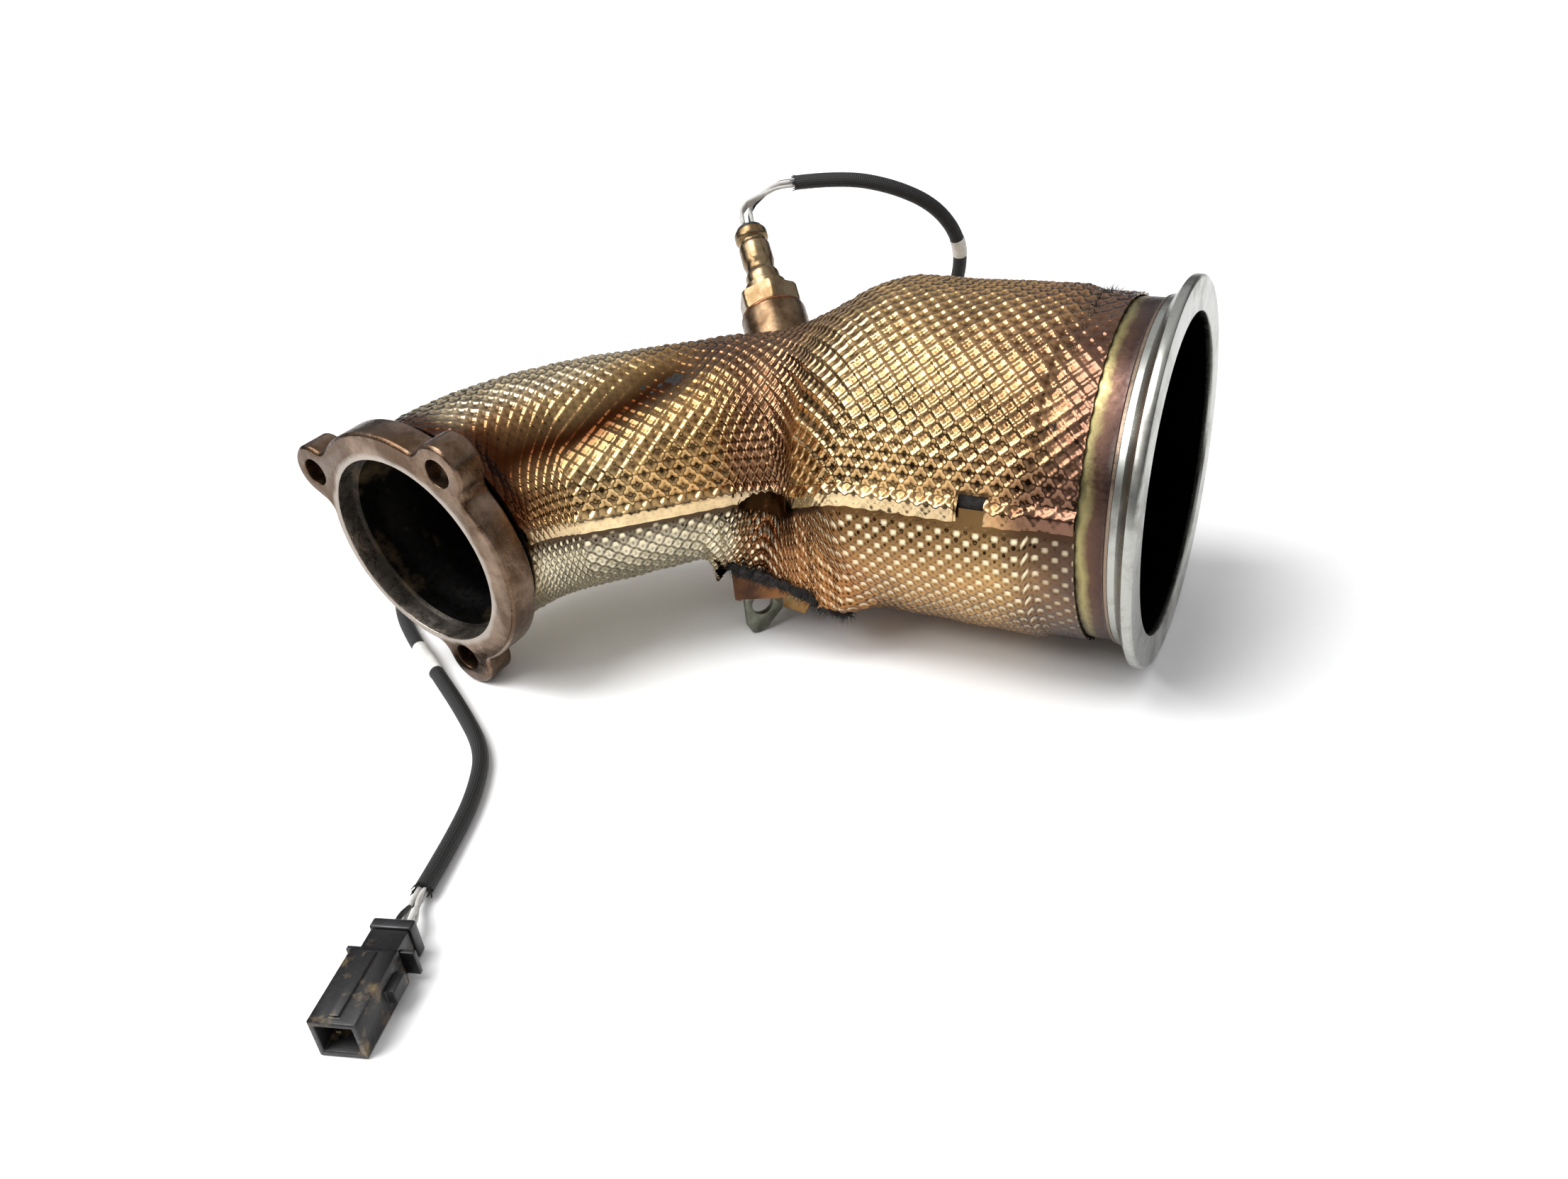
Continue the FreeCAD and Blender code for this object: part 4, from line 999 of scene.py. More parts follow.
@dataclass
class HeatShields:
    """The two pressed half shells of embossed foil; sizes in mm."""

    start: float = 19.0
    stop: float = 280.5
    cuff: float = 58.5
    can: float = 60.0
    waist: float = 39.4
    neck: float = 42.0
    sheet: float = 0.8
    skirt_step: float = 2.2
    seam_rise: float = 10.5
    seam_drop: float = 4.0
    overlap: float = 4.0
    groove_depth: float = 5.6
    dimple_pitch: float = 6.2
    dimple_depth: float = 0.5
    crease: float = 1.3
    rows: int = 344
    columns: int = 244
    sensor_reach: float = SENSOR_REACH
    sensor_way: tuple[float, float, float] = SENSOR_WAY
    sensor_gap: float = 14.5
    cuff_end: float = 18.0  # from the shields' front edge
    cone: tuple[float, float] = (94.0, 148.0)  # where it starts and ends along the path
    neck_full: float = 220.0
    groove_turn: tuple[float, float] = (150.0, 235.0)  # where it swings from top to near side
    notch: tuple[float, float] = (-56.0, -46.5)  # along X from the inlet face
    notch_rise: float = 4.2  # above the seam
    gusset: tuple[float, float] = (-153.0, -104.0)  # along X from the inlet face
    gusset_face: float = 53.2  # how far the sheet is drawn out over it, from the can's axis
    inner_step: int = 4  # the inner skin takes every fourth row and column

    def radius(self, reach: np.ndarray) -> np.ndarray:
        """Outside radius before the seam and the groove are pressed in."""
        full, (cone_start, cone_end) = self.start + self.cuff_end, self.cone
        front = blend(reach, full - 6, full, self.cuff, self.can)
        cone = blend(reach, cone_start, cone_end, self.can, self.waist)
        neck = blend(reach, cone_end, self.neck_full, self.waist, self.neck)
        return np.where(reach < full, front, np.where(reach < cone_end, cone, neck))

    def seams(self, reach: np.ndarray) -> np.ndarray:
        """The near side's seam angle at each section.

        Args:
            reach: distances along the path in mm.

        Returns:
            The angles, in degrees above the bend's plane.
        """
        points = np.array([PATH.station(r)[0] for r in reach])
        low = PATH.inlet[2] - self.seam_drop
        bent = PATH.inlet[0] - 92
        height = blend(-points[:, 0], -bent, -bent + 45, PATH.inlet[2] + self.seam_rise, low)
        slope = (height - points[:, 2]) / self.radius(reach)
        return np.degrees(np.arcsin(np.clip(slope, -0.9, 0.9)))

    def groove_and_shade(self, reach: np.ndarray, angle: np.ndarray) -> np.ndarray:
        """How deep in the long groove a place is, from 0 to 1; the shield's finish paints shade
        there by the same amount.
        """
        along = ease((reach - 158) / 28) * ease((self.stop - 3 - reach) / 14)
        centre = blend(reach, *self.groove_turn, 90, 47)
        return along * np.exp(-((angle - centre) / 20.0) ** 2)

    def grid(self, half: Half) -> dict[str, np.ndarray]:
        """The outer skin of one half.

        Args:
            half: which half.

        Returns:
            Vertex positions in mm and the numbers kept for each vertex, row by row.
        """
        reach = np.linspace(self.start, self.stop, self.rows)
        size = self.radius(reach)
        near = self.seams(reach)
        share = np.linspace(0, 1, self.columns)[None, :]
        if half is Half.UPPER:
            first, last = near, 180 - near
        else:
            rise = np.degrees(self.overlap / size)
            first, last = 180 - near - rise, 360 + near + rise
        angle = first[:, None] + (last - first)[:, None] * share
        run = reach[:, None] + 0 * angle
        from_edge = np.minimum(angle - first[:, None], last[:, None] - angle)
        height = np.radians(from_edge) * size[:, None]
        out = size[:, None] + 0 * angle
        groove_and_shade = np.zeros_like(angle)
        fade = 1.0 - 0.45 * ease((34 - run) / 6) - 0.3 * ease((run - 262) / 8)
        painted_highlight = np.zeros_like(angle)
        if half is Half.UPPER:
            # The groove's depth, which also paints shade into the groove.
            groove_and_shade = self.groove_and_shade(run, angle)
            skirt = self.skirt_step * (1 - ease((height - 4) / 3.5))
            out = out + skirt - self.groove_depth * groove_and_shade
            mask = fade * (0.35 + 0.65 * ease((height - 2.5) / 3)) * (1 - 0.65 * groove_and_shade)
            # Painted highlight on the groove's brow and along the skirt's edge.
            brow = blend(run, *self.groove_turn, 112, 66)
            painted_highlight = ease((angle - brow) / 22) * ease((run - 172) / 35)
            painted_highlight = 0.75 * painted_highlight * ease((278 - run) / 12)
            painted_highlight = np.maximum(painted_highlight, 0.45 * (1 - ease((height - 3.0) / 3)) * ease((run - 42) / 12))
        else:
            mask = fade * ease((height - 5) / 4)
            # Painted shadow under the upper shield's skirt: a line on the neck and cone, a wider
            # band on the can.
            groove_and_shade = 0.8 * np.exp(-((height - 8) / 5.0) ** 2) * ease((run - 140) / 30)
            can_shadow_band = 0.5 * np.exp(-((height - 10) / 10.0) ** 2) * (1 - ease((run - 120) / 20))
            groove_and_shade = np.maximum(groove_and_shade, can_shadow_band)
            shade = 0.75 + 0.2 * ease((run - 100) / 30)
            groove_and_shade = np.maximum(groove_and_shade, shade * (1 - ease((height - 7.0) / 3.5)))
        sections = [PATH.section(r) for r in reach]
        centre = np.array([s[0] for s in sections])[:, None, :]
        side = np.array([s[1] for s in sections])[:, None, :]
        turn = np.radians(angle)[..., None]
        spots = (centre + side * (out[..., None] * np.cos(turn))
                 + PATH.up * (out[..., None] * np.sin(turn)))
        if half is Half.LOWER:
            spots = self.pulled_over(spots)
        around = np.radians(angle - 90) * size[:, None] * MM
        return {"spots": spots, "along": run * MM, "around": around, "emboss": mask,
                "loose": 0.4 + 0.6 * fade * ease(height / 12), "painted_highlight": painted_highlight,
                "groove_and_shade": groove_and_shade, "reach": (run - self.start) / (self.stop - self.start)}

    def pulled_over(self, spots: np.ndarray) -> np.ndarray:
        """The lower shield drawn out over the top of the bracket's gusset.

        Args:
            spots: the outer skin's vertices in mm, changed in place.

        Returns:
            The same vertices.
        """
        x, z = spots[..., 0] - PATH.inlet[0], spots[..., 2]
        lengthwise = ease((x + 168) / 17) * ease((-90 - x) / 14)
        weight = lengthwise * ease((z - 14) / 10) * ease((70 - z) / 26)
        weight = weight * (spots[..., 1] < PATH.inlet[1] - 15)
        face = PATH.inlet[1] - self.gusset_face + 0.5 * np.sin(x * 0.7)
        short = np.minimum(face - spots[..., 1], 0)
        spots[..., 1] += weight * short
        return spots

    def opened(self, spots: np.ndarray, half: Half) -> np.ndarray:
        """Which places are cut away, for the sensor above or for the bracket below.

        Args:
            spots: places on the skin in mm.
            half: which half.

        Returns:
            True where the sheet is cut away.
        """
        if half is Half.UPPER:
            origin = PATH.station(self.sensor_reach)[0]
            way = np.array(Vector(self.sensor_way).normalized())
            away = spots - origin
            along = away @ way
            off_axis = np.linalg.norm(away - along[..., None] * way, axis=-1)
            hole = (off_axis < self.sensor_gap) & (along > 0)
            x, z = spots[..., 0] - PATH.inlet[0], spots[..., 2] - PATH.inlet[2]
            low = (z < self.seam_rise + self.notch_rise) & (spots[..., 1] < PATH.inlet[1])
            return hole | (x > self.notch[0]) & (x < self.notch[1]) & low
        x, z = spots[..., 0] - PATH.inlet[0], spots[..., 2]
        ragged = 0.9 * np.sin(x * 0.9) + 0.7 * np.sin(z * 1.3 + x * 0.35)
        back, front = self.gusset
        top = np.interp(x, [back, -146, -128, -112, front], [35, 35, 32.5, 27.5, -10]) + ragged
        near = spots[..., 1] < PATH.inlet[1] + 2
        return (x > back + ragged) & (x < front) & (z < top) & near

    def build(self, half: Half, finish: Finish, tree: Tree) -> Piece:
        """One half shell: dimpled outer skin, plain inner skin and the sheet's cut edge.

        Args:
            half: which half.
            finish: its finish.
            tree: the dimple tree.

        Returns:
            The finished piece.
        """
        grid = self.grid(half)
        spots = grid.pop("spots")
        down, across = np.gradient(spots, axis=0), np.gradient(spots, axis=1)
        normal = unit(np.cross(down, across))
        reach = np.linspace(self.start, self.stop, self.rows)
        centre = np.array([PATH.station(r)[0] for r in reach])
        inside_out = ((spots - centre[:, None, :]) * normal).sum() < 0
        normal = -normal if inside_out else normal
        index = np.arange(self.rows * self.columns).reshape(self.rows, self.columns)
        skins = []
        for step in (1, self.inner_step):
            rows = np.unique(np.append(np.arange(0, self.rows, step), self.rows - 1))
            cols = np.unique(np.append(np.arange(0, self.columns, step), self.columns - 1))
            pick = index[np.ix_(rows, cols)]
            quads = np.stack([pick[:-1, :-1], pick[1:, :-1], pick[1:, 1:], pick[:-1, 1:]], -1)
            quads = quads.reshape(-1, 4)
            quads = quads[~self.opened(spots.reshape(-1, 3)[quads].mean(1), half)]
            skins.append(quads[:, ::-1] if inside_out else quads)
        outer, inner = skins[0], skins[1][:, ::-1]
        count = len(index.ravel())
        heads = outer.ravel()
        tails = np.roll(outer, -1, axis=1).ravel()
        lone = ~np.isin(heads * count + tails, tails * count + heads)
        heads, tails = heads[lone], tails[lone]
        flat, way = spots.reshape(-1, 3), normal.reshape(-1, 3)
        verts = np.concatenate([flat, flat - way * self.sheet])
        rim = np.stack([tails, heads, heads + count, tails + count], 1)
        faces = np.concatenate([outer, rim, inner + count])
        used, fresh = np.unique(faces, return_inverse=True)
        made = new_object("%s_shield_embossed" % half.value, verts[used] * MM,
                          fresh.reshape(faces.shape).tolist(), 180)
        for name, values in grid.items():
            full = np.concatenate([values.ravel()] * 2)
            if name in ("emboss", "loose"):
                full[count:] = 0
            if name == "loose":
                full[np.unique(np.concatenate([heads, tails]))] = 0
            store(made, name, full[used])
        run_tree(made, tree, Pitch=self.dimple_pitch * MM, Depth=self.dimple_depth * MM,
                 Crease=self.crease * MM, Finish=finish.material())
        node = "%s_heat_shield" % half.value
        return place(made, finish, "tinted_shield", node)


# -------------------------------------------------------------- fibre insulation


def fibre_fringe() -> Tree:
    """The tree that sets short loose fibres on a strip of felt.

    Returns:
        The geometry node tree.
    """
    tree, given = new_tree("fibre_fringe", Felt="Geometry", Count="Float", Length="Float",
                           Thickness="Float", Finish="Material")
    spots = add(tree, "GeometryNodeDistributePointsOnFaces",
                {"Mesh": given.outputs["Felt"], "Density": given.outputs["Count"], "Seed": 7})
    hair = add(tree, "GeometryNodeMeshCone",
               {"Vertices": 3, "Radius Top": 0.0, "Radius Bottom": given.outputs["Thickness"],
                "Depth": given.outputs["Length"]})
    tilt = add(tree, "FunctionNodeRandomValue",
               {0: (-0.9, -0.9, -3.1), 1: (0.9, 0.9, 3.1), "Seed": 3}, data_type="FLOAT_VECTOR")
    turned = add(tree, "FunctionNodeEulerToRotation", {0: tilt})
    both = add(tree, "FunctionNodeRotateRotation",
               {0: spots.outputs["Rotation"], 1: turned}, rotation_space="LOCAL")
    size = add(tree, "FunctionNodeRandomValue", {2: 0.4, 3: 1.3, "Seed": 5}, data_type="FLOAT")
    placed = add(tree, "GeometryNodeInstanceOnPoints",
                 {"Points": spots.outputs["Points"], "Instance": hair.outputs["Mesh"],
                  "Rotation": both, "Scale": size})
    joined = add(tree, "GeometryNodeJoinGeometry")
    tree.links.new(live(placed), joined.inputs[0])
    tree.links.new(given.outputs["Felt"], joined.inputs[0])
    end_tree(tree, joined, given.outputs["Finish"])
    return tree


@dataclass
class Insulation:
    """Charred felt between shields and steel; it shows at the cut edges; sizes in mm."""

    strip: float = 1.9
    fibres: float = 2.4e6
    length: float = 3.4
    hair: float = 0.09
    gap_reach: float = 29.0
    gap_radius: float = 57.9
    gap_turns: tuple[float, float] = (38.0, 142.0)
    gap_strip: float = 0.45
    hang: tuple[tuple[float, float, float], ...] = (
        (-152, -46.0, 35), (-147, -50.5, 33.5), (-139, -53.4, 32.8), (-131, -53.8, 31.6),
        (-123, -53.8, 30), (-115, -53.0, 27), (-108, -50.0, 22), (-103, -45.0, 17))

    def rope(self, name: str, points: list[np.ndarray], radius: float,
             tree: Tree) -> Piece:
        """A strip of frayed felt along a line.

        Args:
            name: the piece's name.
            points: the line in mm.
            radius: the strip's radius in mm.
            tree: the fringe tree.

        Returns:
            The piece.
        """
        line = np.array(points) * MM
        rng = np.random.default_rng(11)
        sizes = radius * MM * (1 + 0.3 * rng.standard_normal(len(line)).clip(-1, 1))
        verts, faces, _ = sweep(line, sizes, 10)
        made = new_object(name, verts, faces, 180)
        run_tree(made, tree, 180, Count=self.fibres, Length=self.length * MM,
                 Thickness=self.hair * MM, Finish=FELT.material())
        return place(made, FELT, "fibre_mat")

    def build(self) -> None:
        """Lay felt at the inlet gap and over the bracket, and finish the CAD's own felt alike."""
        tree = fibre_fringe()
        for node in ("upper_insulation", "lower_insulation", "support_mat"):
            dress(node, FELT)
        gap = []
        centre, side = PATH.section(self.gap_reach)
        for turn in np.linspace(*self.gap_turns, 60):
            gap.append(centre + spoke(side, PATH.up, math.radians(turn)) * self.gap_radius)
        self.rope("felt_at_inlet", gap, self.gap_strip, tree)
        knots = np.array(self.hang, float)
        steps = np.linspace(0, len(knots) - 1, 46)
        line = along_line(steps, np.arange(len(knots)), knots)
        line[:, :2] += PATH.inlet[:2]
        line = line + 0.5 * np.sin(np.outer(np.arange(46), (1.9, 1.3, 2.3)))
        self.rope("felt_over_bracket", list(line), self.strip, tree)


# --------------------------------------------------------------------- inlet end


@dataclass
class InletEnd:
    """V-band flange, its weld, the ring and what shows inside; sizes in mm."""

    can: float = 57.2
    bore: float = 53.6
    lip: float = 2.5
    edge: float = 0.8
    rim: float = 3.2
    taper_end: float = 6.6
    wall: float = 1.2

    def build(self) -> None:
        """Turn the flange, and dress the ring and the rest that stays as it is."""
        origin, back = Vector(PATH.inlet * MM), Vector((-1, 0, 0))
        low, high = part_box("v_band_flange")
        deep, wide = (high.x - low.x) / MM, (high.z - low.z) / 2 / MM
        neck = self.can + self.wall
        section = [(self.bore, 0), (wide - self.edge, 0), (wide, self.edge), (wide, self.rim),
                   (self.can + 2, self.taper_end), (neck, self.taper_end), (neck, deep),
                   (self.can, deep), (self.can, self.lip), (self.bore, self.lip)]
        flange = lathe("v_band_flange_turned", rounded(section, 0.45, 2), origin, back, 220)
        place(flange, FLANGE_STEEL, "machined_steel", "v_band_flange")
        for node, finish in (("inlet_ring", INLET_STEEL), ("can_shell", INNER_STEEL),
                             ("flange_weld", WELD), ("cone_weld", WELD), ("neck_weld", WELD),
                             ("outlet_flange_weld", WELD), ("catalyst_monolith", CERAMIC),
                             ("outlet_cone", INNER_STEEL), ("neck_pipe", SOOTED_BORE)):
            dress(node, finish)


# ------------------------------------------------------------------ outlet flange


@dataclass
class OutletFlange:
    """The cast three-lobed flange, with softened cast edges; sizes in mm."""

    edge: float = 1.1

    def build(self) -> None:
        """Soften the CAD form's edges and give it its cast and oxidised finish."""
        made = soft_copy("outlet_flange", self.edge, 3)
        place(made, CAST_FACE, "cast_flange", "outlet_flange")


# -------------------------------------------------------------------------- bracket


@dataclass
class Bracket:
    """Gusset, mount plate and brace of pressed sheet; sizes in mm."""

    edge: float = 0.5

    def build(self) -> None:
        """Break the plates' edges and give each the film that heat and road left on it."""
        for node, finish, slot in (("bracket_gusset", RUSTED, "bracket_steel"),
                                   ("bracket_mount_plate", GREY_SHEET, "mount_steel"),
                                   ("bracket_brace", CREAM_SHEET, "bracket_steel")):
            place(soft_copy(node, self.edge), finish, slot, node)


# --------------------------------------------------------------------------- sensor


@dataclass
class Sensor:
    """Oxygen sensor: boss, washer, hexagon, crimped sleeve and grommet; sizes in mm."""

    reach: float = SENSOR_REACH
    way: tuple[float, float, float] = SENSOR_WAY
    top: float = 54.0
    washer: float = 1.5
    hexagon: float = 8.0
    across: float = 22.0
    sleeve: float = 6.4
    end: float = 95.5
    bore: float = 9.2
    collar: float = 13.0
    foot: float = 36.0
    core: float = 0.2

    def ring(self, name: str, section: list[tuple[float, float]], radius: float) -> Piece:
        """A part turned about the sensor's axis, with rounded corners."""
        origin = Vector(PATH.station(self.reach)[0] * MM)
        return lathe(name, rounded(section, radius, 3), origin, Vector(self.way), 96)

    def nut(self) -> Piece:
        """The hexagon with its turned corners, and the collar above it.

        Returns:
            The piece.
        """
        origin, axis = Vector(PATH.station(self.reach)[0] * MM), Vector(self.way).normalized()
        side = axis.cross(Vector((0, 0, 1))).normalized()
        up = axis.cross(side)
        base = self.top + self.washer
        count = 120
        flat = self.across / 2
        levels = ((0, -1.0), (0.9, 0.0), (self.hexagon - 0.9, 0.0), (self.hexagon, -1.0),
                  (self.hexagon, -2.6), (self.hexagon + 4, -2.9), (self.hexagon + 4.4, -3.4))
        verts = []
        for height, inset in levels:
            for i in range(count):
                turn = 2 * math.pi * i / count
                wedge = (turn + math.pi / 6) % (math.pi / 3) - math.pi / 6
                size = min(flat / math.cos(wedge), flat * 1.13 + min(inset + 0.6, 0.0) * 0.8)
                if inset < -1.5:
                    size = flat + inset + 0.35
                way = spoke(side, up, turn)
                verts.append(origin + (axis * (base + height) + way * size) * MM)
        faces = ring_faces(len(levels), count) + caps(len(levels), count)
        made = new_object("sensor_nut", verts, faces, 28)
        outwards(made)
        made.data.set_sharp_from_angle(angle=math.radians(28))
        return made

    def build(self) -> None:
        """Turn the boss, the washer, the hexagon, the sleeve and the grommet."""
        base = self.top + self.washer + self.hexagon + 4
        boss = self.ring("sensor_boss_turned", [
            (self.bore, self.foot), (self.collar, self.foot), (self.collar, self.top),
            (self.bore, self.top)], 0.8)
        place(boss, BOSS, "weld_metal", "sensor_boss")
        washer = self.ring("sensor_washer", [
            (self.bore, self.top), (self.collar - 0.6, self.top),
            (self.collar - 0.6, self.top + self.washer), (self.bore, self.top + self.washer)], 0.7)
        place(washer, COPPER, "copper_washer", "sensor_gasket")
        place(self.nut(), SENSOR_METAL, "sensor_metal", "sensor_body")
        r = self.sleeve
        outline = [
            (self.core, base), (r + 0.5, base), (r + 0.5, base + 5), (r - 0.6, base + 7),
            (r - 0.6, base + 9), (r, base + 11), (r, base + 19), (r - 0.9, base + 20),
            (r - 0.9, base + 21.2), (r + 0.3, base + 22.4), (r + 0.3, self.end - 2.2),
            (r - 0.6, self.end - 1.6), (self.core, self.end - 1.6)]
        sleeve = self.ring("sensor_sleeve_crimped", outline, 0.7)
        place(sleeve, SENSOR_METAL, "sensor_metal", "sensor_sleeve")
        low = self.end - 2.4
        cap = self.ring("sensor_cable_seal", [
            (self.core, low), (r - 0.8, low), (r - 0.9, self.end - 0.3),
            (r - 2.2, self.end + 0.4), (self.core, self.end + 0.4)], 0.5)
        place(cap, RUBBER, "seal_rubber", "sensor_grommet")
        dress("sensor_probe", INNER_STEEL)


# ----------------------------------------------------------------------------- lead


@dataclass
class Lead:
    """The sleeved lead from the sensor's wires to the connector's; sizes in mm."""

    radius: float = 2.75
    length: float = 0.632
    yarn: float = 0.16
    tape: float = 0.25
    tape_rest: float = 3.1
    bands: tuple[tuple[str, float, float], ...] = (
        ("tape_band_upper", 0.118, 0.130), ("tape_band_lower", 0.772, 0.806))
    points: tuple[tuple[float, float, float], ...] = (
        (-164, 58, 144), (-146, 61, 145.5), (-128, 67, 141.5), (-113, 75, 132.5), (-106, 83, 118),
        (-108, 89, 102), (-116, 93, 86), (-124, 95, 68), (-132, 96, 49), (-141, 96, 31),
        (-153, 94, 15), (-171, 88, 4.5), (-193, 76, 3.1), (-219, 60, 3), (-247, 41, 3.1),
        (-275, 17, 3), (-298, -11, 3.1), (-311, -39, 3), (-309, -62, 3.1), (-291, -83, 3),
        (-267, -100, 3.1), (-242, -114.5, 3), (-218, -129, 2.8), (-196, -144, 2.9),
        (-185, -160, 3.1), (-176.5, -179, 3), (-168.7, -203.3, 3.6))

    def spline(self) -> tuple[Piece, np.ndarray]:
        """The lead's smooth line through its given points.

        Returns:
            The curve's object, and points read from it in metres.
        """
        data = bpy.data.curves.new("lead_line", "CURVE")
        data.dimensions = "3D"
        data.resolution_u = 8
        line = data.splines.new("NURBS")
        line.points.add(len(self.points) - 1)
        for spot, (x, y, z) in zip(line.points, self.points):
            spot.co = (x * MM + PATH.foot[0] * MM, y * MM + PATH.foot[1] * MM, z * MM, 1)
        line.order_u = 3
        line.use_endpoint_u = True
        made = stand("lead_line", data)
        bpy.context.view_layer.update()
        mesh = bpy.data.meshes.new_from_object(made)
        spots = np.array([v.co for v in mesh.vertices])
        bpy.data.meshes.remove(mesh)
        return made, spots

    def frayed(self, spots: np.ndarray, ahead: np.ndarray) -> list[np.ndarray]:
        """Loose yarns standing off one end of the sleeve.

        Args:
            spots: the end's middle, in metres.
            ahead: the direction out of the end.

        Returns:
            Each yarn's line.
        """
        rng = np.random.default_rng(4)
        yarns = []
        side = unit(np.cross(ahead, (0.1, 0.2, 1.0)))
        up = np.cross(side, ahead)
        for turn in rng.uniform(0, 2 * math.pi, 26):
            way = spoke(side, up, turn)
            start = spots + way * self.radius * 0.86 * MM - ahead * 1.0 * MM
            tip = start + (ahead * rng.uniform(1.2, 3.4) + way * rng.uniform(0, 1.2)) * MM
            if tip[2] > 0.0004:
                yarns.append(np.linspace(start, tip, 3))
        return yarns

    def build(self, connector: list[Piece]) -> None:
        """Args:
            connector: the pieces on the lead's far end; not used.
        """
        line, spots = self.spline()
        sleeve = tube("lead_braid", [spots], self.radius * MM, 28)
        place(sleeve, SLEEVE, "braid_sleeve", "lead_sleeve")
        run = distances(spots)
        pieces = []
        for name, first, last in self.bands:
            part = along_line(np.linspace(first, last, 14), run / run[-1], spots)
            part[:, 2] = np.maximum(part[:, 2], self.tape_rest * MM)
            wrap = tube(name + "_wrapped", [part], (self.radius + self.tape) * MM, 28)
            pieces.append(place(wrap, TAPE, "pale_tape", name))
        loose = (self.frayed(spots[0], unit(spots[0] - spots[1]))
                 + self.frayed(spots[-1], unit(spots[-1] - spots[-2])))
        yarns = tube("sleeve_yarns", loose, self.yarn * MM, 5)
        pieces.append(place(yarns, SLEEVE, "braid_sleeve"))
        pieces += self.wires("sensor_wires") + self.wires("connector_wires")
        bpy.data.objects.remove(line)

    def wires(self, node: str) -> list[Piece]:
        """Dress the bare wires at one end, pale ones and one black.

        Args:
            node: the CAD node that holds this end's wires.

        Returns:
            The pale wires and the black one.
        """
        work = welded(node)
        work.verts.index_update()
        black, edge_on = set(), [work.verts[:][0]]
        while edge_on:
            here = edge_on.pop()
            if here not in black:
                black.add(here)
                edge_on += [edge.other_vert(here) for edge in here.link_edges]
        chosen = {vert.index for vert in black}
        made = []
        for label, dark in (("smooth", False), ("black", True)):
            part = work.copy()
            part.verts.ensure_lookup_table()
            spare = [vert for vert in part.verts if (vert.index in chosen) != dark]
            bmesh.ops.delete(part, geom=spare, context="VERTS")
            mesh = bpy.data.meshes.new("%s_%s" % (node, label))
            part.to_mesh(mesh)
            part.free()
            wire = stand(mesh.name, mesh)
            soft = wire.modifiers.new("soft", "SUBSURF")
            soft.levels = 1
            settle(wire, 180)
            made.append(place(wire, DARK_WIRE, "wire_insulation") if dark
                        else place(wire, WIRES, "wire_insulation", node))
        work.free()
        return made


# ------------------------------------------------------------------------ connector


@dataclass
class Connector:
    """The plug: housing, rear cap, lock plate and contacts; sizes in mm."""

    edge: float = 0.5
    cap_edge: float = 0.6
    plate_edge: float = 0.25

    def build(self) -> list[Piece]:
        """Round the moulded edges and give the plug its plastic.

        Returns:
            The pieces, CAD nodes that stay among them.
        """
        made = []
        for node, width, finish in (("connector_housing", self.edge, PLUG_DIRT),
                                    ("connector_seal_cap", self.cap_edge, PLUG),
                                    ("connector_lock_plate", self.plate_edge, PLUG)):
            made.append(place(soft_copy(node, width), finish, "plug_plastic", node))
        dress("connector_pins", CONTACTS)
        return made + [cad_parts["connector_pins"]]


# --------------------------------------------------------------------------- studio


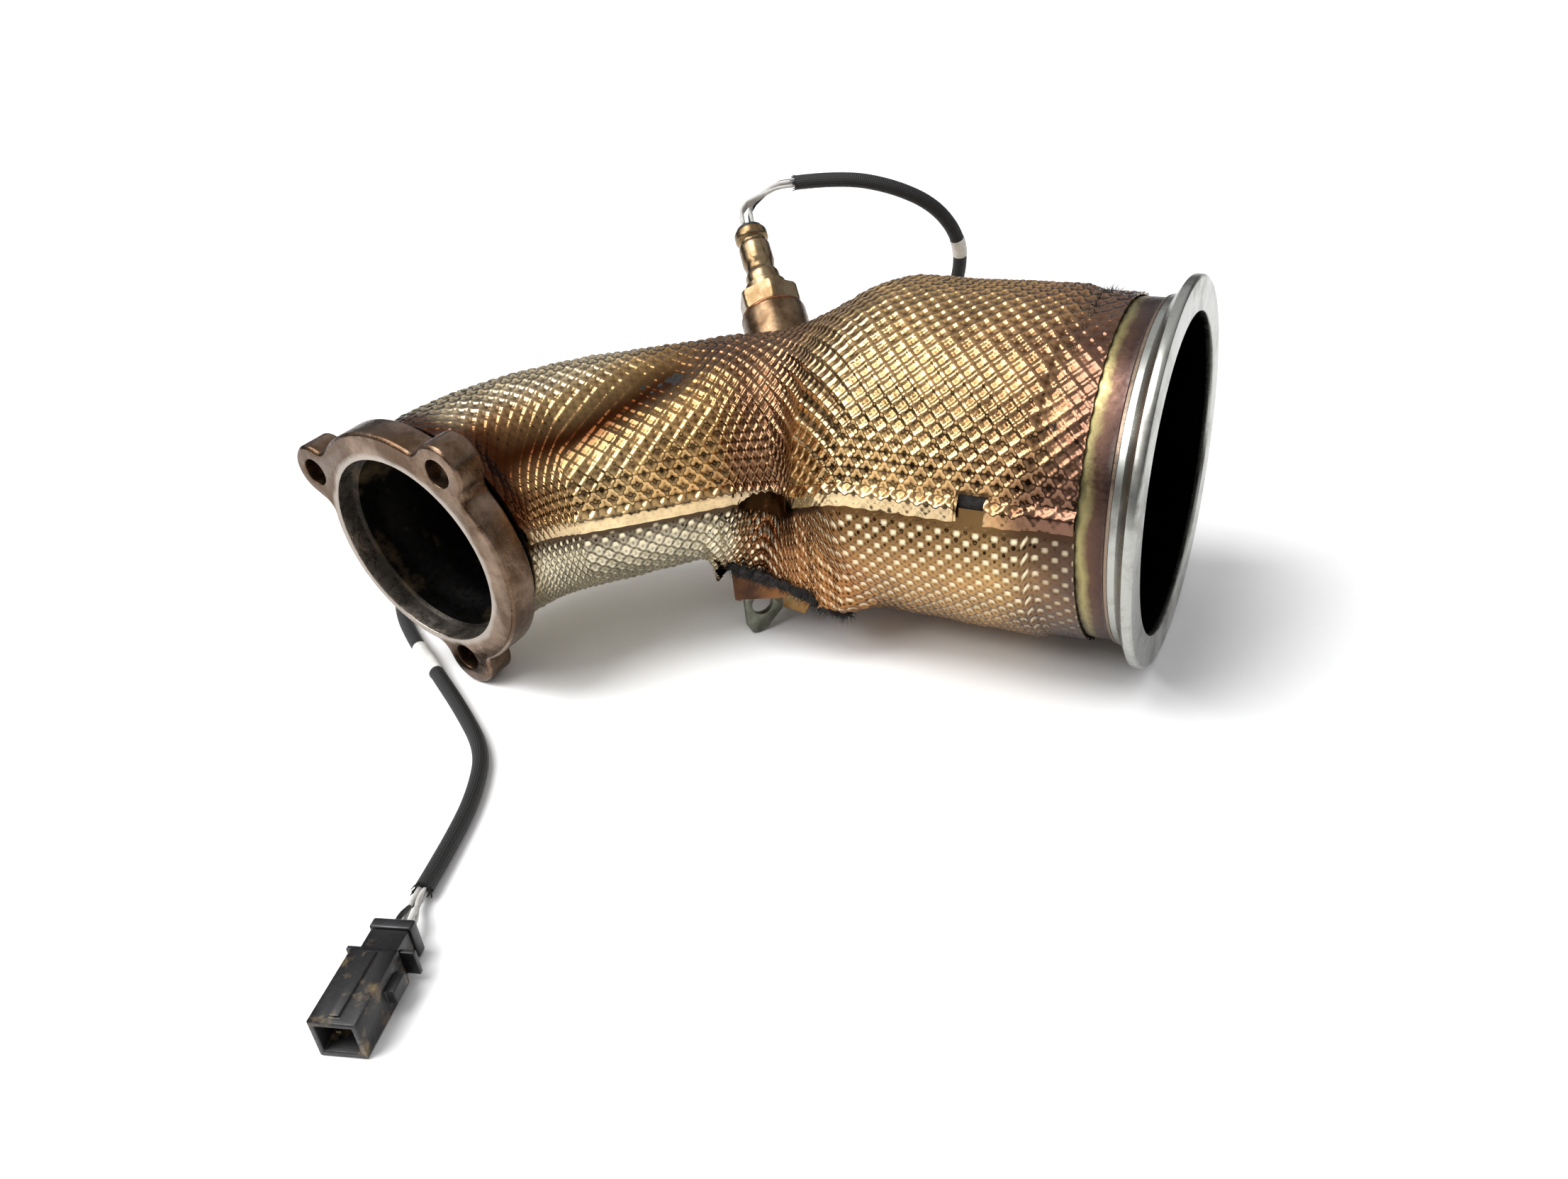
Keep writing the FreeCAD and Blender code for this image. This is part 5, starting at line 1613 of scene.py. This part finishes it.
@dataclass
class Studio:
    """Pale floor, soft light and the camera."""

    reach: float = 14.0
    sun: float = 2.1
    sky: float = 0.78
    lens: float = 27.065
    eye: tuple[float, float, float] = (60.9, -367.3, 244.8)
    right: tuple[float, float, float] = (0.8845, 0.4570, -0.0939)
    up: tuple[float, float, float] = (-0.1639, 0.4929, 0.8545)
    back: tuple[float, float, float] = (0.4368, -0.7404, 0.5109)
    window: tuple[float, float, float] = (-0.5, -0.55, 0.75)
    window_size: tuple[float, float] = (0.9, 0.25)
    window_power: float = 6.0

    def camera(self) -> None:
        """Stand the camera in front of the part, past its inlet end and above it."""
        data = bpy.data.cameras.new("camera")
        data.lens = self.lens
        data.sensor_width = 36
        data.sensor_fit = "HORIZONTAL"
        data.clip_start = 0.01
        made = stand("camera", data)
        turn = Matrix((self.right, self.up, self.back)).transposed().to_quaternion()
        eye = Vector((PATH.foot + np.array(self.eye)) * MM)
        made.matrix_world = Matrix.LocRotScale(eye, turn, None)
        bpy.context.scene.camera = made

    def floor(self) -> None:
        """A pale sheet under the part, wide enough to fill the view."""
        r = self.reach
        corners = [(-r, -r, 0), (r, -r, 0), (r, r, 0), (-r, r, 0)]
        made = new_object("pale_floor", corners, [(0, 1, 2, 3)])
        finish = Mottled("white_board", "fdfdfd", "fbfbfb", 30, 0.0, 0.75, 0.05)
        coat(made, finish)

    def lights(self) -> None:
        """A bright sky with a dimmer horizon, a soft sun from above the left and a window."""
        world = bpy.data.worlds.new("studio")
        world.use_nodes = True
        tree = world.node_tree
        tree.nodes.clear()
        spot = add(tree, "ShaderNodeTexCoord")
        parts = add(tree, "ShaderNodeSeparateXYZ", {0: spot.outputs["Generated"]})
        tint = add(tree, "ShaderNodeValToRGB",
                   {"Fac": parts.outputs["Z"]},
                   ((0.0, "3a3a3e"), (1.0, "ffffff"), (0.22, "4c4c50"), (0.42, "dcdce0")))
        glow = add(tree, "ShaderNodeBackground", {"Color": tint, "Strength": self.sky})
        white = add(tree, "ShaderNodeBackground", {"Color": (1, 1, 1, 1), "Strength": 1.0})
        ray = add(tree, "ShaderNodeLightPath")
        pick = add(tree, "ShaderNodeMixShader",
                   {0: ray.outputs["Is Camera Ray"], 1: glow, 2: white})
        add(tree, "ShaderNodeOutputWorld", {"Surface": pick})
        bpy.context.scene.world = world
        data = bpy.data.lights.new("sun", "SUN")
        data.energy = self.sun
        data.angle = math.radians(32)
        made = stand("sun", data)
        made.rotation_euler = Vector((-0.35, -0.25, 1.0)).to_track_quat("Z", "Y").to_euler()
        strip = bpy.data.lights.new("window", "AREA")
        strip.shape = "RECTANGLE"
        strip.size, strip.size_y = self.window_size
        strip.energy = self.window_power
        lamp = stand("window", strip)
        lamp.location = self.window
        lamp.rotation_euler = Vector((-0.5, -0.55, 0.72)).to_track_quat("Z", "Y").to_euler()
        bpy.context.scene.view_settings.view_transform = "Standard"


def main() -> None:
    """Build every assembly in order."""
    logging.basicConfig(level=logging.INFO, format="%(message)s")
    studio = Studio()
    studio.camera()
    Lead().build(Connector().build())
    shields, tree = HeatShields(), embossed_sheet()
    shields.build(Half.UPPER, UPPER_SHIELD, tree)
    shields.build(Half.LOWER, LOWER_SHIELD, tree)
    InletEnd().build()
    OutletFlange().build()
    Bracket().build()
    Sensor().build()
    Insulation().build()
    studio.floor()
    studio.lights()


if __name__ == "__main__":
    main()
